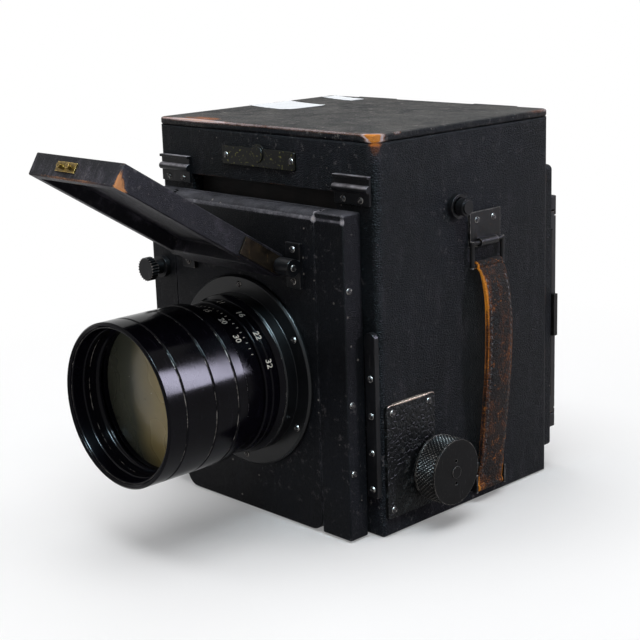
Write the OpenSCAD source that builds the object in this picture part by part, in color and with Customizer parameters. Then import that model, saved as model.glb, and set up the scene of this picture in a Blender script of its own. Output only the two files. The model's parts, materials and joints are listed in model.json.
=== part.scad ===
// Box reflex plate camera with a focusing front, a long lens and a raised lens flap.
// Millimetres. X runs across the camera, the lens looks along -Y, Z is up.
// The origin is the mouth of the tripod socket, in the middle of the base.

/* [Body] */
// Width of the leather-covered body
body_w = 166; // [156:1:180]
// Depth of the body from front face to back face
body_d = 136; // [130:1:150]
// Height of the body with its top lid closed
body_h = 205; // [198:1:220]
// Thickness of the body's walls
wall = 8; // [7:0.5:9]
// Radius of the body's upright corners
corner_r = 4; // [2:0.5:6]
// Width of the opening behind the focusing front
front_open_w = 112; // [104:1:116]
// Height of the sill below the front opening
front_open_bottom = 12; // [10:1:18]
// Height of the top edge of the front opening
front_open_top = 175.5; // [172:0.5:180]
// Side of the square picture opening in the back wall
image_open = 112; // [100:1:116]
// Height of the picture's centre above the base
image_z = 93; // [88:1:98]
// Gap between pieces that seat on each other across two bodies
seat_gap = 0.3; // [0.2:0.05:0.4]
// Radial clearance of a shaft that runs in a hole
run_gap = 0.05; // [0.03:0.01:0.09]

/* [Top lid] */
// Thickness of the lid that closes the viewing hood
lid_t = 4; // [3:0.5:6]
// Height of the rib under the lid that fits inside the walls
lid_rib_h = 2.5; // [1.5:0.5:4]
// Width of the rib under the lid
lid_rib_w = 3; // [2:0.5:5]
// Radius of the lid's hinge knuckles
lid_knuckle_r = 2.6; // [2.2:0.1:3]
// Length of one lid hinge
lid_hinge_l = 30; // [24:1:40]
// Distance of each lid hinge from the middle
lid_hinge_x = 45; // [35:1:55]
// Gap between the hinge leaves and the reversing back under them
leaf_over_back = 1; // [0.5:0.1:2]
// Thickness of the hinge leaves
leaf_t = 1; // [0.8:0.1:1.2]
// Radius of the lid's hinge pins
lid_pin_r = 1.2; // [1:0.1:1.4]

/* [Front fittings] */
// Width of the bare name plate
name_w = 56; // [40:1:70]
// Height of the bare name plate
name_h = 9.6; // [8:0.2:12]
// Thickness of the name plate
name_t = 1.2; // [0.8:0.1:2]
// Radius of the round boss in the middle of the name plate
name_boss_r = 5.4; // [4:0.1:6]
// Height of the boss above the middle of the plate
name_boss_up = 1.7; // [1:0.1:2.5]
// Thickness of the raised disc on the boss
name_boss_t = 0.7; // [0.4:0.1:1]
// Width of each clip above the front
clip_w = 24; // [16:1:26]
// Height of each clip above the front
clip_h = 14.5; // [12:0.5:16]
// Gap between the clips and the top of the focusing front
clip_over_front = 2.8; // [2.5:0.1:4]
// Height of the clip's bead above its lower edge
clip_bead_z = 8; // [7:0.5:9]
// Thickness of the clip's plate
clip_t = 1.5; // [1:0.1:2]
// Radius of the rolled bead across the clip
clip_bead_r = 1.9; // [1.6:0.1:2.2]
// Distance of each clip's outer edge from the body's side
clip_inset = 3; // [2:0.5:5]
// Length of the guide strip beside the front
strip_l = 86; // [70:1:100]
// Height of the guide strip's lower end above the base
strip_z = 22; // [15:1:30]
// Thickness of the guide strip
strip_t = 3; // [2:0.1:3.5]
// Distance of the guide strip from the body's side
strip_inset = 0.6; // [0.4:0.1:1]
// Gap between the guide strip and the front that slides past it
strip_gap = 0.5; // [0.4:0.1:0.8]

/* [Focusing front] */
// Width of the front standard
standard_w = 150; // [144:1:152]
// Height of the front standard
standard_h = 167.7; // [164:0.1:169]
// Thickness of the front standard
standard_t = 12.6; // [11:0.1:14]
// Distance from the body's face to the back of the front standard as photographed
standard_out = 2.8; // [2:0.1:5]
// Width of the blocks that the rising panel slides between
block_w = 20; // [16:0.5:22]
// Height of the left block's rounded lower end above the base
left_block_z = 14; // [10:1:20]
// Thickness of the board behind the rising panel
board_t = 3; // [2.5:0.1:4]
// Width of the light opening in that board
board_open_w = 84; // [78:1:90]
// Lap of the panel, at either end of its travel, past the board's opening
board_lap = 9; // [6:0.5:10]
// Travel of the focusing front outwards
focus_travel = 60; // [40:1:60]
// Radius of the rising panel's top edge
panel_round = 5; // [3:0.5:6]
// Radius of the rising panel's lower corners
panel_corner_r = 8; // [4:0.5:10]
// Height of the rising panel's lower edge above the base
panel_z = 0.6; // [0.4:0.1:2]
// Side clearance of the rising panel
panel_gap = 0.3; // [0.2:0.05:0.5]
// Depth of the panel's tongues in the side blocks
tongue_d = 3; // [2:0.5:4]
// Thickness of the panel's tongues
tongue_t = 1.8; // [1.4:0.1:2.2]
// Travel of the rising panel upwards
rise_travel = 20; // [10:1:24]

/* [Rise lock] */
// Radius of the rise lock's milled head
lock_r = 6.5; // [5:0.1:7.5]
// Length of the rise lock in front of its block
lock_l = 13; // [11:0.5:16]
// Radius of the rise lock's stem
lock_stem_r = 2.5; // [2:0.1:3]
// Height of the rise lock above the base
lock_z = 125.5; // [118:0.5:140]
// Number of flutes on the rise lock
lock_flutes = 24; // [16:1:28]

/* [Lens] */
// Height of the lens axis above the base
lens_z = 77.8; // [74:0.1:82]
// Outer radius of the lens flange
flange_r = 51.2; // [49:0.1:53]
// Thickness of the lens flange
flange_t = 2.6; // [2:0.1:4]
// Radius of the collar in front of the flange
collar_r = 42.2; // [41:0.1:43]
// Length of the collar
collar_l = 7.6; // [6:0.1:10]
// Radius of the lens tube behind the front barrel
tube_r = 38.6; // [37.5:0.1:40]
// Length of the tube between the collar and the front barrel
tube_l = 24.4; // [22:0.1:28]
// Radius of the front barrel
barrel_r = 42; // [41:0.1:43]
// Length of the front barrel
barrel_l = 50.6; // [46:0.1:54]
// Wall of the lens tubes
tube_wall = 3; // [2.5:0.1:3.5]
// Depth of the lens hood in front of the glass
hood_depth = 18; // [12:0.5:22]
// Thickness of the front barrel's wall at the rim
rim_wall = 2.4; // [2:0.1:3]
// Distance of the front barrel's first turned groove from the rim
groove_1 = 11.4; // [9:0.1:13]
// Distance of the front barrel's second turned groove from the rim
groove_2 = 29.6; // [26:0.1:33]
// Distance of the front barrel's third turned groove from the rim
groove_3 = 43.6; // [40:0.1:45]
// Width and depth of the turned grooves
groove_w = 0.7; // [0.5:0.1:1]
// Width of the iris ring
iris_ring_w = 9; // [7:0.5:11]
// Radius of the iris ring
iris_ring_r = 40.4; // [39.5:0.1:41]
// Distance of the iris ring in front of the collar
iris_ring_y = 3; // [2:0.5:5]
// Radius of the front glass
front_glass_r = 37; // [35:0.1:38]
// Thickness of the front glass at its middle
front_glass_t = 11; // [9:0.5:13]
// Radius of the rear glass
rear_glass_r = 30; // [26:0.5:31]
// Thickness of the rear glass at its middle
rear_glass_t = 8; // [6:0.5:9]
// Radius of the bowed glass surfaces
glass_bow_r = 160; // [140:5:220]
// Distance of the leaves' pivots from the lens axis
leaf_pivot_r = 30.6; // [30:0.1:31]
// Width of an iris leaf
leaf_w = 7; // [6.5:0.1:7.4]
// Thickness of an iris leaf
leaf_thick = 0.3; // [0.2:0.05:0.3]
// Angle that an iris leaf spans round the lens
leaf_span = 96; // [80:1:98]
// Lift of a leaf over its length, so that each leaf passes over the next
leaf_lift = 2.9; // [2.7:0.1:3.2]
// Radius of the leaves' pivot pins
leaf_pin_r = 0.9; // [0.8:0.05:1]

/* [Lens flap] */
// Width of the flap above the lens
flap_w = 70; // [60:1:72]
// Length of the flap from its hinge axis to its tip
flap_l = 108.7; // [100:0.1:112]
// Thickness of the flap
flap_t = 11.8; // [10:0.1:12]
// Angle of the flap above level as photographed
flap_angle = 31.6; // [20:0.1:40]
// Height of the flap's hinge axis above the base
flap_z = 139.5; // [136:0.1:142]
// Width of the flap's edges round its recess
flap_edge = 5; // [4:0.5:8]
// Depth of the recess under the flap
flap_recess = 7; // [4:0.5:8]
// Length of the brass straps on the flap's sides
flap_strap_l = 27; // [20:1:40]
// Thickness of the brass straps on the flap's sides
flap_strap_t = 1; // [0.8:0.1:1.5]
// Width of the hinge brackets
bracket_w = 10; // [8:0.5:12]
// Height of the hinge brackets
bracket_h = 23; // [20:1:26]
// Thickness of the hinge brackets' plates
bracket_t = 2; // [1.5:0.1:2.5]
// Radius of the hinge brackets' knuckles
knuckle_r = 4.5; // [4:0.1:5]
// Thickness of the catch plate on the flap's tip
catch_t = 0.8; // [0.5:0.1:1.2]
// Radius of the flap's hinge screws
flap_pin_r = 2; // [1.5:0.1:2.5]
// Length of the hinge pins inside the flap
flap_pin_l = 12; // [8:0.5:16]

/* [Focusing drive] */
// Number of teeth on each pinion
pinion_teeth = 12; // [12:1:14]
// Module of the rack and pinion teeth
tooth_module = 1; // [0.9:0.05:1]
// Width of the racks and pinions
rack_w = 8; // [6:0.5:9]
// Height of the rack bars under their teeth
rack_h = 5.6; // [4.5:0.1:7]
// Radius of the focusing shaft
shaft_r = 3; // [2.5:0.1:3.4]
// Distance of the focusing shaft behind the body's front face
shaft_back = 36; // [34:0.5:40]
// Height of the focusing shaft above the base
shaft_z = 30; // [28:0.5:32]
// Distance of the racks from the middle
rack_x = 66; // [64:0.5:67]
// Radius of the focusing knob over its milling
knob_r = 17.5; // [15:0.5:19]
// Length of the focusing knob
knob_l = 13.6; // [11:0.1:16]
// Gap between the focusing plate and the knob
knob_gap = 2.3; // [1.5:0.1:4]
// Rows of diamonds along the knob's milling
milling_rows = 5; // [4:1:6]
// Diamonds round the knob's milling
milling_count = 52; // [40:1:60]
// Height of the milled diamonds
milling_h = 0.6; // [0.3:0.05:0.8]
// Width of the plate behind the focusing knob
plate_w = 36; // [32:0.5:38]
// Height of the plate's top edge above the base
plate_top = 70; // [64:0.5:76]
// Height of the plate's lower edge above the base
plate_bottom = 10; // [8:0.5:14]
// Thickness of the plate behind the focusing knob
plate_t = 2; // [1.5:0.1:2.5]
// Distance of the plate from the body's front face
plate_inset = 2; // [1:0.5:4]
// Radius of the plate's round lobe behind the knob
plate_lobe_r = 14; // [10:0.5:15]

/* [Bellows] */
// Width over the bellows' folds
bellows_w = 106; // [100:1:108]
// Lower edge of the bellows' folds
bellows_bottom = 18; // [16:1:20]
// Upper edge of the bellows' folds
bellows_top = 164; // [160:1:168]
// Depth of the bellows' folds
fold_d = 7; // [4:0.5:9]
// Number of folds in the bellows
folds = 6; // [4:1:7]
// Thickness of the bellows' leather
bellows_t = 1.2; // [0.8:0.1:1.6]

/* [Mirror and screen] */
// Distance of the mirror's shaft in front of the body's back face
mirror_back = 22; // [20:0.5:24]
// Height of the mirror's shaft above the picture's centre
mirror_up = 40; // [38:0.5:42]
// Length of the mirror from its shaft
mirror_l = 98; // [90:1:100]
// Width of the mirror's frame
mirror_w = 104; // [96:1:108]
// Thickness of the mirror's frame
mirror_t = 4; // [3:0.5:5]
// Thickness of the mirror's glass
mirror_glass_t = 2; // [1.5:0.1:2.5]
// Width of the rim round the mirror's glass
mirror_rim = 4; // [3:0.5:6]
// Radius of the mirror's shaft
mirror_shaft_r = 2.5; // [2:0.1:2.8]
// Length of the lever that sets the mirror
lever_l = 34; // [28:1:38]
// Width of the lever that sets the mirror
lever_w = 7; // [6:0.5:8]
// Thickness of the lever
lever_t = 2.4; // [2:0.1:3]
// Radius of the button on the lever's end
lever_knob_r = 4.5; // [4:0.1:5.5]
// Height of the focusing screen's frame above the base
screen_z = 154; // [152:0.5:158]
// Thickness of the focusing screen's frame
screen_t = 6; // [5:0.5:8]
// Thickness of the ground glass
ground_t = 2; // [1.5:0.1:3]
// Width of the view through the screen's frame
screen_open_w = 108; // [96:1:112]
// Depth of the view through the screen's frame
screen_open_d = 80; // [70:1:80]
// Width of the rebate that carries the ground glass
rebate = 1.4; // [1:0.1:1.6]
// Number of folds in the viewing hood's leather
hood_folds = 6; // [4:1:8]
// Depth of the hood's folds
hood_fold_d = 8; // [5:0.5:9]
// Width over the folded hood
hood_w = 138; // [126:1:140]
// Thickness of the hood's leather
hood_t = 1.4; // [1:0.1:2]
// Thickness of the frame on top of the folded hood
hood_frame_t = 2; // [1.5:0.1:3]
// Radius of the pegs that the mirror rests on
peg_r = 2; // [1.5:0.1:2.5]
// Length of the pegs that the mirror rests on
peg_l = 27; // [25:1:30]

/* [Shutter] */
// Radius of the blind's rollers
roller_r = 4.5; // [4:0.1:4.6]
// Radius of the rollers' shafts
roller_shaft_r = 2; // [1.6:0.1:2.2]
// Distance of the rollers' axes in front of the back wall
roller_in = 5.5; // [5.4:0.1:5.6]
// Height of the upper roller above the picture's centre
roller_up = 60.8; // [60.6:0.1:61.5]
// Drop of the lower roller below the picture's centre
roller_down = 63; // [61:0.5:66]
// Thickness of the shutter blind
blind_t = 0.4; // [0.3:0.05:0.45]
// Thickness of the plates that carry the rollers
bearing_t = 2.5; // [2:0.1:3]
// Radius of the winding knob
wind_r = 10; // [8:0.5:12]
// Length of the winding knob
wind_l = 9; // [7:0.5:12]
// Radius of the shutter speed dial
dial_r = 14; // [12:0.5:16]
// Thickness of the shutter speed dial
dial_t = 2.4; // [2:0.1:3]
// Number of flutes on the winding knobs
wind_flutes = 30; // [20:1:36]
// Radius of the dial's small knob
dial_knob_r = 8; // [6:0.5:9]
// Length of the dial's small knob
dial_knob_l = 6; // [4:0.5:8]

/* [Back] */
// Side of the square reversing back
back_w = 162; // [150:1:164]
// Thickness of the reversing back
back_t = 5.7; // [5:0.1:8]
// Width of the plate holder's rails
rail_w = 158; // [148:1:160]
// Height of the rails' lower edge above the base
rail_bottom = 22; // [18:0.5:26]
// Height of the rails' upper edge above the base
rail_top = 156; // [150:0.5:160]
// Height of one rail
rail_h = 11; // [8:0.5:13]
// Thickness of the rails
rail_t = 6.6; // [6.5:0.1:8]
// Depth of the grooves in the rails
rail_groove = 3; // [2:0.5:5]
// Thickness of the plate holder
holder_t = 6; // [5:0.1:7]
// Thickness of the holder's tongues in the rails
holder_tongue_t = 3; // [2.5:0.1:3.5]
// Thickness of the dark slide
sheath_t = 1; // [0.8:0.1:1.2]
// Height of the dark slide
sheath_h = 96; // [80:1:98]

/* [Hand strap] */
// Width of the hand strap
strap_w = 20; // [18:0.5:24]
// Thickness of the hand strap
strap_t = 3.6; // [3:0.1:4.2]
// Largest bow of the strap off the body's side
strap_bow = 7.2; // [6:0.2:10]
// Height of the loop that holds the strap's top end
strap_top = 130; // [120:1:136]
// Height of the strap's lower end
strap_bottom = 8; // [6:0.5:12]
// Distance of the strap behind the body's middle
strap_y = 12; // [6:0.5:16]
// Radius of the wire of the strap's loop
loop_r = 1.1; // [0.9:0.1:1.4]
// Height of the plate that holds the loop
loop_plate_h = 16; // [12:0.5:20]

/* [Release] */
// Radius of the release button
button_r = 4.4; // [3.8:0.1:5]
// Distance that the button stands out of its collar
button_out = 6; // [4:0.5:8]
// Travel of the release button
button_travel = 3.5; // [2:0.5:4]
// Radius of the button's stem
button_stem_r = 2.5; // [2:0.1:3]
// Radius of the button's collar
button_collar_r = 6.2; // [5.6:0.1:7]
// Length of the button's collar
button_collar_l = 3; // [2:0.5:4]
// Height of the release button above the base
button_z = 163; // [160:0.5:168]
// Distance of the release button in front of the body's middle
button_y = 10; // [6:0.5:16]

/* [Tripod socket] */
// Radius of the tripod socket
socket_r = 4; // [3:0.1:5]
// Radius of the tripod bush
bush_r = 7.5; // [6.5:0.1:9]
// Radius of the bush's flange inside the base
bush_flange_r = 14; // [12:0.5:18]
// Thickness of the bush's flange
bush_flange_t = 2; // [1.5:0.1:3]

/* [Screws] */
// Radius of a screw's head
screw_r = 1.7; // [1.4:0.1:2]
// Height of a screw's head
screw_t = 0.7; // [0.5:0.1:1]
// Width of a screw's slot
slot_w = 0.5; // [0.4:0.1:0.7]
// Depth of the flutes in small knobs
flute_d = 0.8; // [0.5:0.1:1]

/* [Hidden] */

// Smoothness of round parts
$fn = 64;
// Least overlap of two solids that form one piece
weld = 0.02;
// Play between pieces that are fitted to each other for good
fit_gap = 0.03;
// Turn of a screw's slot from one screw to the next
slot_turn = 37;

// Faces of the body
side_x = body_w / 2;
front_y = -body_d / 2;
back_y = body_d / 2;
shell_top = body_h - lid_t;
inner_x = side_x - wall;
inner_front = front_y + wall;
inner_back = back_y - wall;

// Faces of the focusing front
standard_back = front_y - standard_out;
standard_front = standard_back - standard_t;
board_front = standard_back - board_t;
block_inner = standard_w / 2 - block_w;
panel_w = 2 * (block_inner - panel_gap);
panel_back = board_front - panel_gap;
panel_top = standard_h;
tongue_y = (panel_back + standard_front) / 2;
lock_x = -(block_inner + block_w / 2);
panel_bore_r = rear_glass_r + 2;
board_open_bottom = panel_z + rise_travel + board_lap;
board_open_top = lens_z + panel_bore_r + rise_travel + board_lap;
block_screws = [36, 72, 130];

// Front fittings above the opening
clip_z = standard_h + clip_over_front;
name_z = (front_open_top + shell_top) / 2;

// Focusing drive
shaft_y = front_y + shaft_back;
pressure = 20;
pitch_r = pinion_teeth * tooth_module / 2;
tooth_pitch = PI * tooth_module;
addendum = 0.65 * tooth_module;
dedendum = 0.95 * tooth_module;
tooth_slack = 0.12 * tooth_module;
rack_pitch_z = shaft_z - pitch_r;
rack_root_z = rack_pitch_z - dedendum;
rack_bottom_z = rack_root_z - rack_h;
rack_end = shaft_y + focus_travel + 2 * pitch_r;
foot_t = 2.2;
slot_gap = 1;
knob_x0 = side_x + plate_t + knob_gap;
knob_x1 = knob_x0 + knob_l;
knob_rim_t = 1;
knob_core_r = knob_r - milling_h - 1.6;
blind_bore = 5;

// Lens, measured forward from the panel's face
collar_f = flange_t + collar_l;
tube_f = collar_f + tube_l;
rim_f = tube_f + barrel_l;
tube_inner = tube_r - tube_wall;
ring_f = collar_f + iris_ring_y;
ring_seat_r = tube_r - 1.2;
ring_play = 0.15;
glass_f = rim_f - hood_depth;
glass_back_f = glass_f - front_glass_t;
front_sag = bow(front_glass_r);
rear_sag = bow(rear_glass_r);
ledge_w = 2.5;
leaf_count = 6;
shelf_f = 12;
shelf_t = 1.6;
shelf_r = 27;
leaf_gap = 0.3;
leaf_f = shelf_f + shelf_t + leaf_gap;
leaf_far_angle = 135;
leaf_reach = 48.4;
leaf_tilt = atan(leaf_lift / leaf_reach);
leaf_step = 360 / leaf_count;

// Lens flap
flap_y = standard_front - flap_t / 2 - seat_gap;
flap_tray_start = 14;
bracket_x0 = flap_w / 2 + flap_strap_t + seat_gap;
bracket_x1 = bracket_x0 + bracket_w;

// Mirror and screen
mirror_y = back_y - mirror_back;
mirror_z = image_z + mirror_up;
screen_y = mirror_y - mirror_up;
screen_front = screen_y - screen_open_d / 2;
screen_back = screen_y + screen_open_d / 2;
hood_bottom = screen_z + screen_t;
hood_top = shell_top - lid_rib_h - seat_gap;
hood_front = screen_y - screen_open_d / 2 - hood_fold_d;
hood_back = screen_y + screen_open_d / 2 + hood_fold_d;

// Shutter
roller_y = inner_back - roller_in;
upper_z = image_z + roller_up;
lower_z = image_z - roller_down;
blind_y = roller_y + roller_r + seat_gap;
bearing_x = inner_x - bearing_t;
roller_x = bearing_x - seat_gap;

// Back
back_plate_y = back_y + back_t;
rail_y = back_plate_y + rail_t;
holder_h = rail_top - rail_bottom - 2 * rail_h - 2 * seat_gap;
holder_z = (rail_top + rail_bottom) / 2;
holder_y0 = back_plate_y + seat_gap;
holder_y1 = holder_y0 + holder_t;
holder_x0 = -rail_w / 2 + rail_h + seat_gap;
holder_x1 = rail_w / 2;
back_z = image_z;

// Hand strap
loop_plate_t = 1.5;
strap_end_t = 1.3;
strap_loop_r = loop_r + fit_gap + strap_end_t;
wire_x = side_x + strap_loop_r + seat_gap;
loop_z = strap_top + 12;

// Lid hinge axis
lid_axis_y = back_y + lid_knuckle_r + seat_gap;
lid_axis_z = shell_top + 0.1;
leaf_top = lid_axis_z - lid_knuckle_r - seat_gap;
leaf_bottom = back_z + back_w / 2 + leaf_over_back;

// Box between two opposite corners
module block(x0, x1, y0, y1, z0, z1) {
    translate([x0, y0, z0]) cube([x1 - x0, y1 - y0, z1 - z0]);
}

// Round bars along each axis
module bar_x(r, x0, x1, y, z) {
    translate([x0, y, z]) rotate([0, 90, 0]) cylinder(r = r, h = x1 - x0);
}

module bar_y(r, y0, y1, x, z) {
    translate([x, y1, z]) rotate([90, 0, 0]) cylinder(r = r, h = y1 - y0);
}

module bar_z(r, z0, z1, x, y) {
    translate([x, y, z0]) cylinder(r = r, h = z1 - z0);
}

// Flat outline in X and Z, given thickness along Y
module across_y(y0, y1) {
    translate([0, y1, 0]) rotate([90, 0, 0]) linear_extrude(y1 - y0) children();
}

// Flat outline in Y and Z, given thickness along X
module across_x(x0, x1) {
    translate([x0, 0, 0]) rotate([90, 0, 90]) linear_extrude(x1 - x0) children();
}

// Rectangle with round corners, centred
module round_rect(w, h, r) {
    square([w - 2 * r, h], center = true);
    square([w, h - 2 * r], center = true);
    for (sx = [-1, 1])
        for (sy = [-1, 1])
            translate([sx * (w / 2 - r), sy * (h / 2 - r)]) circle(r);
}

// Profile turned round the lens axis, drawn as radius and distance forward of the panel
module turned() {
    translate([0, standard_front, lens_z]) rotate([90, 0, 0]) rotate_extrude($fn = 128) children();
}

// Slotted screw head whose seat is at the origin and whose top points up
module screw_head() {
    difference() {
        cylinder(r1 = screw_r, r2 = screw_r * 0.8, h = screw_t);
        translate([-screw_r, -slot_w / 2, screw_t / 2]) cube([2 * screw_r, slot_w, screw_t]);
    }
}

// Screw heads that face forward, right, left, back
module screw_front(x, y, z, turn = 0) {
    translate([x, y, z]) rotate([90, 0, 0]) rotate([0, 0, turn]) screw_head();
}

module screw_right(x, y, z, turn = 0) {
    translate([x, y, z]) rotate([0, 90, 0]) rotate([0, 0, turn]) screw_head();
}

module screw_left(x, y, z, turn = 0) {
    translate([x, y, z]) rotate([0, -90, 0]) rotate([0, 0, turn]) screw_head();
}

module screw_back(x, y, z, turn = 0) {
    translate([x, y, z]) rotate([-90, 0, 0]) rotate([0, 0, turn]) screw_head();
}

// Fluted round outline
module fluted(r, count, depth) {
    difference() {
        circle(r);
        for (i = [0 : count - 1])
            rotate(i * 360 / count) translate([r, 0]) rotate(45) square(depth * sqrt(2), center = true);
    }
}

// Boards of the leather-covered case, which is open at the top, the front and the back
module body_shell() {
    end_x = inner_x - fit_gap;
    color("#1d1b1c") difference() {
        union() {
            for (side = [-1, 1])
                mirror([side < 0 ? 1 : 0, 0, 0]) side_board();
            for (y = [front_y, inner_back])
                block(-end_x, end_x, y, y + wall, 0, shell_top);
            block(-end_x, end_x, inner_front + fit_gap, inner_back - fit_gap, 0, wall);
        }
        block(-front_open_w / 2, front_open_w / 2, front_y - 1, inner_front + 1,
            front_open_bottom, front_open_top);
        translate([0, 0, image_z])
            block(-image_open / 2, image_open / 2, inner_back - 1, back_y + 1,
                -image_open / 2, image_open / 2);
        for (side = [-1, 1])
            translate([side * rack_x, 0, 0])
                block(-rack_w / 2 - slot_gap, rack_w / 2 + slot_gap, front_y - 1, inner_front + 1,
                    rack_bottom_z - slot_gap, shaft_z + slot_gap);
        bar_x(shaft_r + run_gap, -inner_x - blind_bore, side_x + 1, shaft_y, shaft_z);
        bar_x(mirror_shaft_r + run_gap, -side_x - 1, inner_x + blind_bore, mirror_y, mirror_z);
        for (z = [upper_z, lower_z])
            bar_x(roller_shaft_r + run_gap, -side_x - 1, -inner_x + 1, roller_y, z);
        bar_x(button_stem_r + run_gap, inner_x - 1, side_x + 1, -button_y, button_z);
        bar_z(bush_r, -1, wall + 1, 0, 0);
    }
}

// Side board with its rounded outer edges and the peg that the lowered mirror rests on
module side_board() {
    reach = mirror_l - 2 * peg_r;
    drop = mirror_t / 2 + peg_r + seat_gap;
    peg_y = mirror_y - (reach - drop) * sqrt(0.5);
    peg_z = mirror_z - (reach + drop) * sqrt(0.5);
    intersection() {
        linear_extrude(shell_top) round_rect(body_w, body_d, corner_r);
        block(inner_x, side_x, front_y, back_y, 0, shell_top);
    }
    bar_x(peg_r, inner_x - peg_l, inner_x + weld, peg_y, peg_z);
}

// Brass bush with the tripod socket, flanged inside the base
module tripod_bush() {
    color("#a88a4a") difference() {
        union() {
            bar_z(bush_r - fit_gap, 0, wall, 0, 0);
            bar_z(bush_flange_r, wall, wall + bush_flange_t, 0, 0);
        }
        bar_z(socket_r, -1, wall + bush_flange_t + 1, 0, 0);
    }
}

// Bare plate with a round boss above the front opening
module name_plate() {
    boss_z = name_z + name_boss_up;
    color("#3a3626") {
        across_y(front_y - name_t, front_y) {
            translate([0, name_z]) round_rect(name_w, name_h, name_t);
            translate([0, boss_z]) circle(name_boss_r);
        }
        across_y(front_y - name_t - name_boss_t, front_y - name_t + weld)
            translate([0, boss_z]) circle(name_boss_r - name_t);
    }
}

// Pair of clips with a rolled bead, above the focusing front
module front_clips() {
    x1 = side_x - clip_inset;
    x0 = x1 - clip_w;
    lip = clip_t;
    color("#2b2a2c") for (side = [-1, 1])
        mirror([side < 0 ? 1 : 0, 0, 0]) {
            block(x0, x1, front_y - clip_t, front_y, clip_z, clip_z + clip_h);
            block(x0, x1, front_y - 2 * clip_t, front_y, clip_z + clip_h - lip, clip_z + clip_h);
            bar_x(clip_bead_r, x0, x1, front_y - clip_bead_r, clip_z + clip_bead_z);
        }
}

// Pair of round-topped metal strips that guide the front's sides
module guide_strips() {
    x0 = standard_w / 2 + strip_gap;
    x1 = side_x - strip_inset;
    r = (x1 - x0) / 2;
    color("#2b2a2c") for (side = [-1, 1])
        mirror([side < 0 ? 1 : 0, 0, 0]) across_y(front_y - strip_t, front_y) {
            translate([x0, strip_z]) square([2 * r, strip_l - r]);
            translate([x0 + r, strip_z + strip_l - r]) circle(r);
        }
}

// Plate behind the focusing knob, with a round lobe round the shaft
module focus_plate() {
    y0 = front_y + plate_inset;
    color("#232224") across_x(side_x, side_x + plate_t) difference() {
        union() {
            translate([y0 + plate_w / 2, (plate_top + plate_bottom) / 2])
                round_rect(plate_w, plate_top - plate_bottom, plate_t);
            translate([shaft_y, shaft_z]) circle(plate_lobe_r);
        }
        translate([shaft_y, shaft_z]) circle(shaft_r + seat_gap);
    }
}

// Screw heads on the case and on what is fixed to it
module case_screws() {
    clip_x = side_x - clip_inset - clip_w / 2;
    strip_x = (standard_w / 2 + strip_gap + side_x - strip_inset) / 2;
    plate_y0 = front_y + plate_inset;
    edge = 2.5 * screw_r;
    strip_step = (strip_l - 2 * edge) / 4;
    color("#8c8476") {
        for (side = [-1, 1]) {
            for (dx = [-clip_w / 4, clip_w / 4])
                screw_front(side * clip_x + dx, front_y - clip_t, clip_z + 1.5 * screw_r, slot_turn * dx);
            for (i = [0 : 3])
                screw_front(side * strip_x, front_y - strip_t, strip_z + edge + i * strip_step,
                    slot_turn * i);
            screw_front(side * (name_w / 2 - screw_r - name_t), front_y - name_t, name_z, 90);
            for (dx = [-1, 1])
                screw_back(side * lid_hinge_x + dx * lid_hinge_l / 3, back_y + leaf_t,
                    (leaf_bottom + leaf_top) / 2, slot_turn * dx);
            for (dz = [-1, 1])
                screw_back(side * (back_w / 2 - edge), back_plate_y, back_z + dz * (back_w / 2 - edge),
                    slot_turn * dz);
            for (z = [rail_bottom + rail_h / 2, rail_top - rail_h / 2])
                screw_back(side * rail_w / 3, rail_y, z, slot_turn * side);
        }
        for (y = [plate_y0 + edge, plate_y0 + plate_w - edge])
            screw_right(side_x + plate_t, y, plate_top - edge, slot_turn * y);
        screw_right(side_x + plate_t, plate_y0 + edge, plate_bottom + edge, slot_turn);
        for (dy = [-1, 1]) {
            screw_right(side_x + loop_plate_t, strap_y + dy * strap_w / 3,
                loop_z + loop_plate_h - edge, slot_turn * dy);
            screw_right(side_x + loop_plate_t, strap_y + dy * strap_w / 3,
                strap_bottom + loop_plate_h - edge, 2 * slot_turn * dy);
        }
    }
}

// Plate, knuckle and wire loop that hold the strap's upper end
module strap_bracket() {
    half = strap_w / 2 + 2 * loop_r;
    color("#3c3a38") {
        block(side_x, side_x + loop_plate_t, strap_y - half, strap_y + half, loop_z - 2 * loop_r,
            loop_z + loop_plate_h);
        block(side_x + weld, wire_x, strap_y - strap_w / 3, strap_y + strap_w / 3,
            loop_z - loop_r, loop_z + loop_r);
        bar_y(2 * loop_r, strap_y - strap_w / 3, strap_y + strap_w / 3, wire_x, loop_z);
        for (z = [strap_top, loop_z])
            bar_y(loop_r, strap_y - half, strap_y + half, wire_x, z);
        for (dy = [-half, half])
            bar_z(loop_r, strap_top - loop_r, loop_z + loop_r, wire_x, strap_y + dy);
    }
}

// Plate, ears and cross bar that hold the strap's lower end
module strap_anchor() {
    half = strap_w / 2 + 2 * loop_r;
    color("#3c3a38") {
        block(side_x, side_x + loop_plate_t, strap_y - half, strap_y + half,
            strap_bottom + strap_loop_r + seat_gap, strap_bottom + loop_plate_h);
        for (dy = [-half, half - loop_r])
            block(side_x, wire_x + 2 * loop_r, strap_y + dy, strap_y + dy + loop_r,
                strap_bottom - 2 * loop_r, strap_bottom + loop_plate_h / 2);
        bar_y(loop_r, strap_y - half + weld, strap_y + half - weld, wire_x, strap_bottom);
    }
}

// Leather hand strap that bows out between its loop and its anchor
function strap_bulge(t) = sin(180 * pow(t, 0.55));
function strap_half(t) = strap_end_t / 2 + (strap_t - strap_end_t) / 2 * min(1, 5 * min(t, 1 - t));
function strap_at(t, side) = [
    wire_x + strap_end_t / 2 + strap_bow * strap_bulge(t) + side * strap_half(t),
    strap_top - t * (strap_top - strap_bottom)
];

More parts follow.
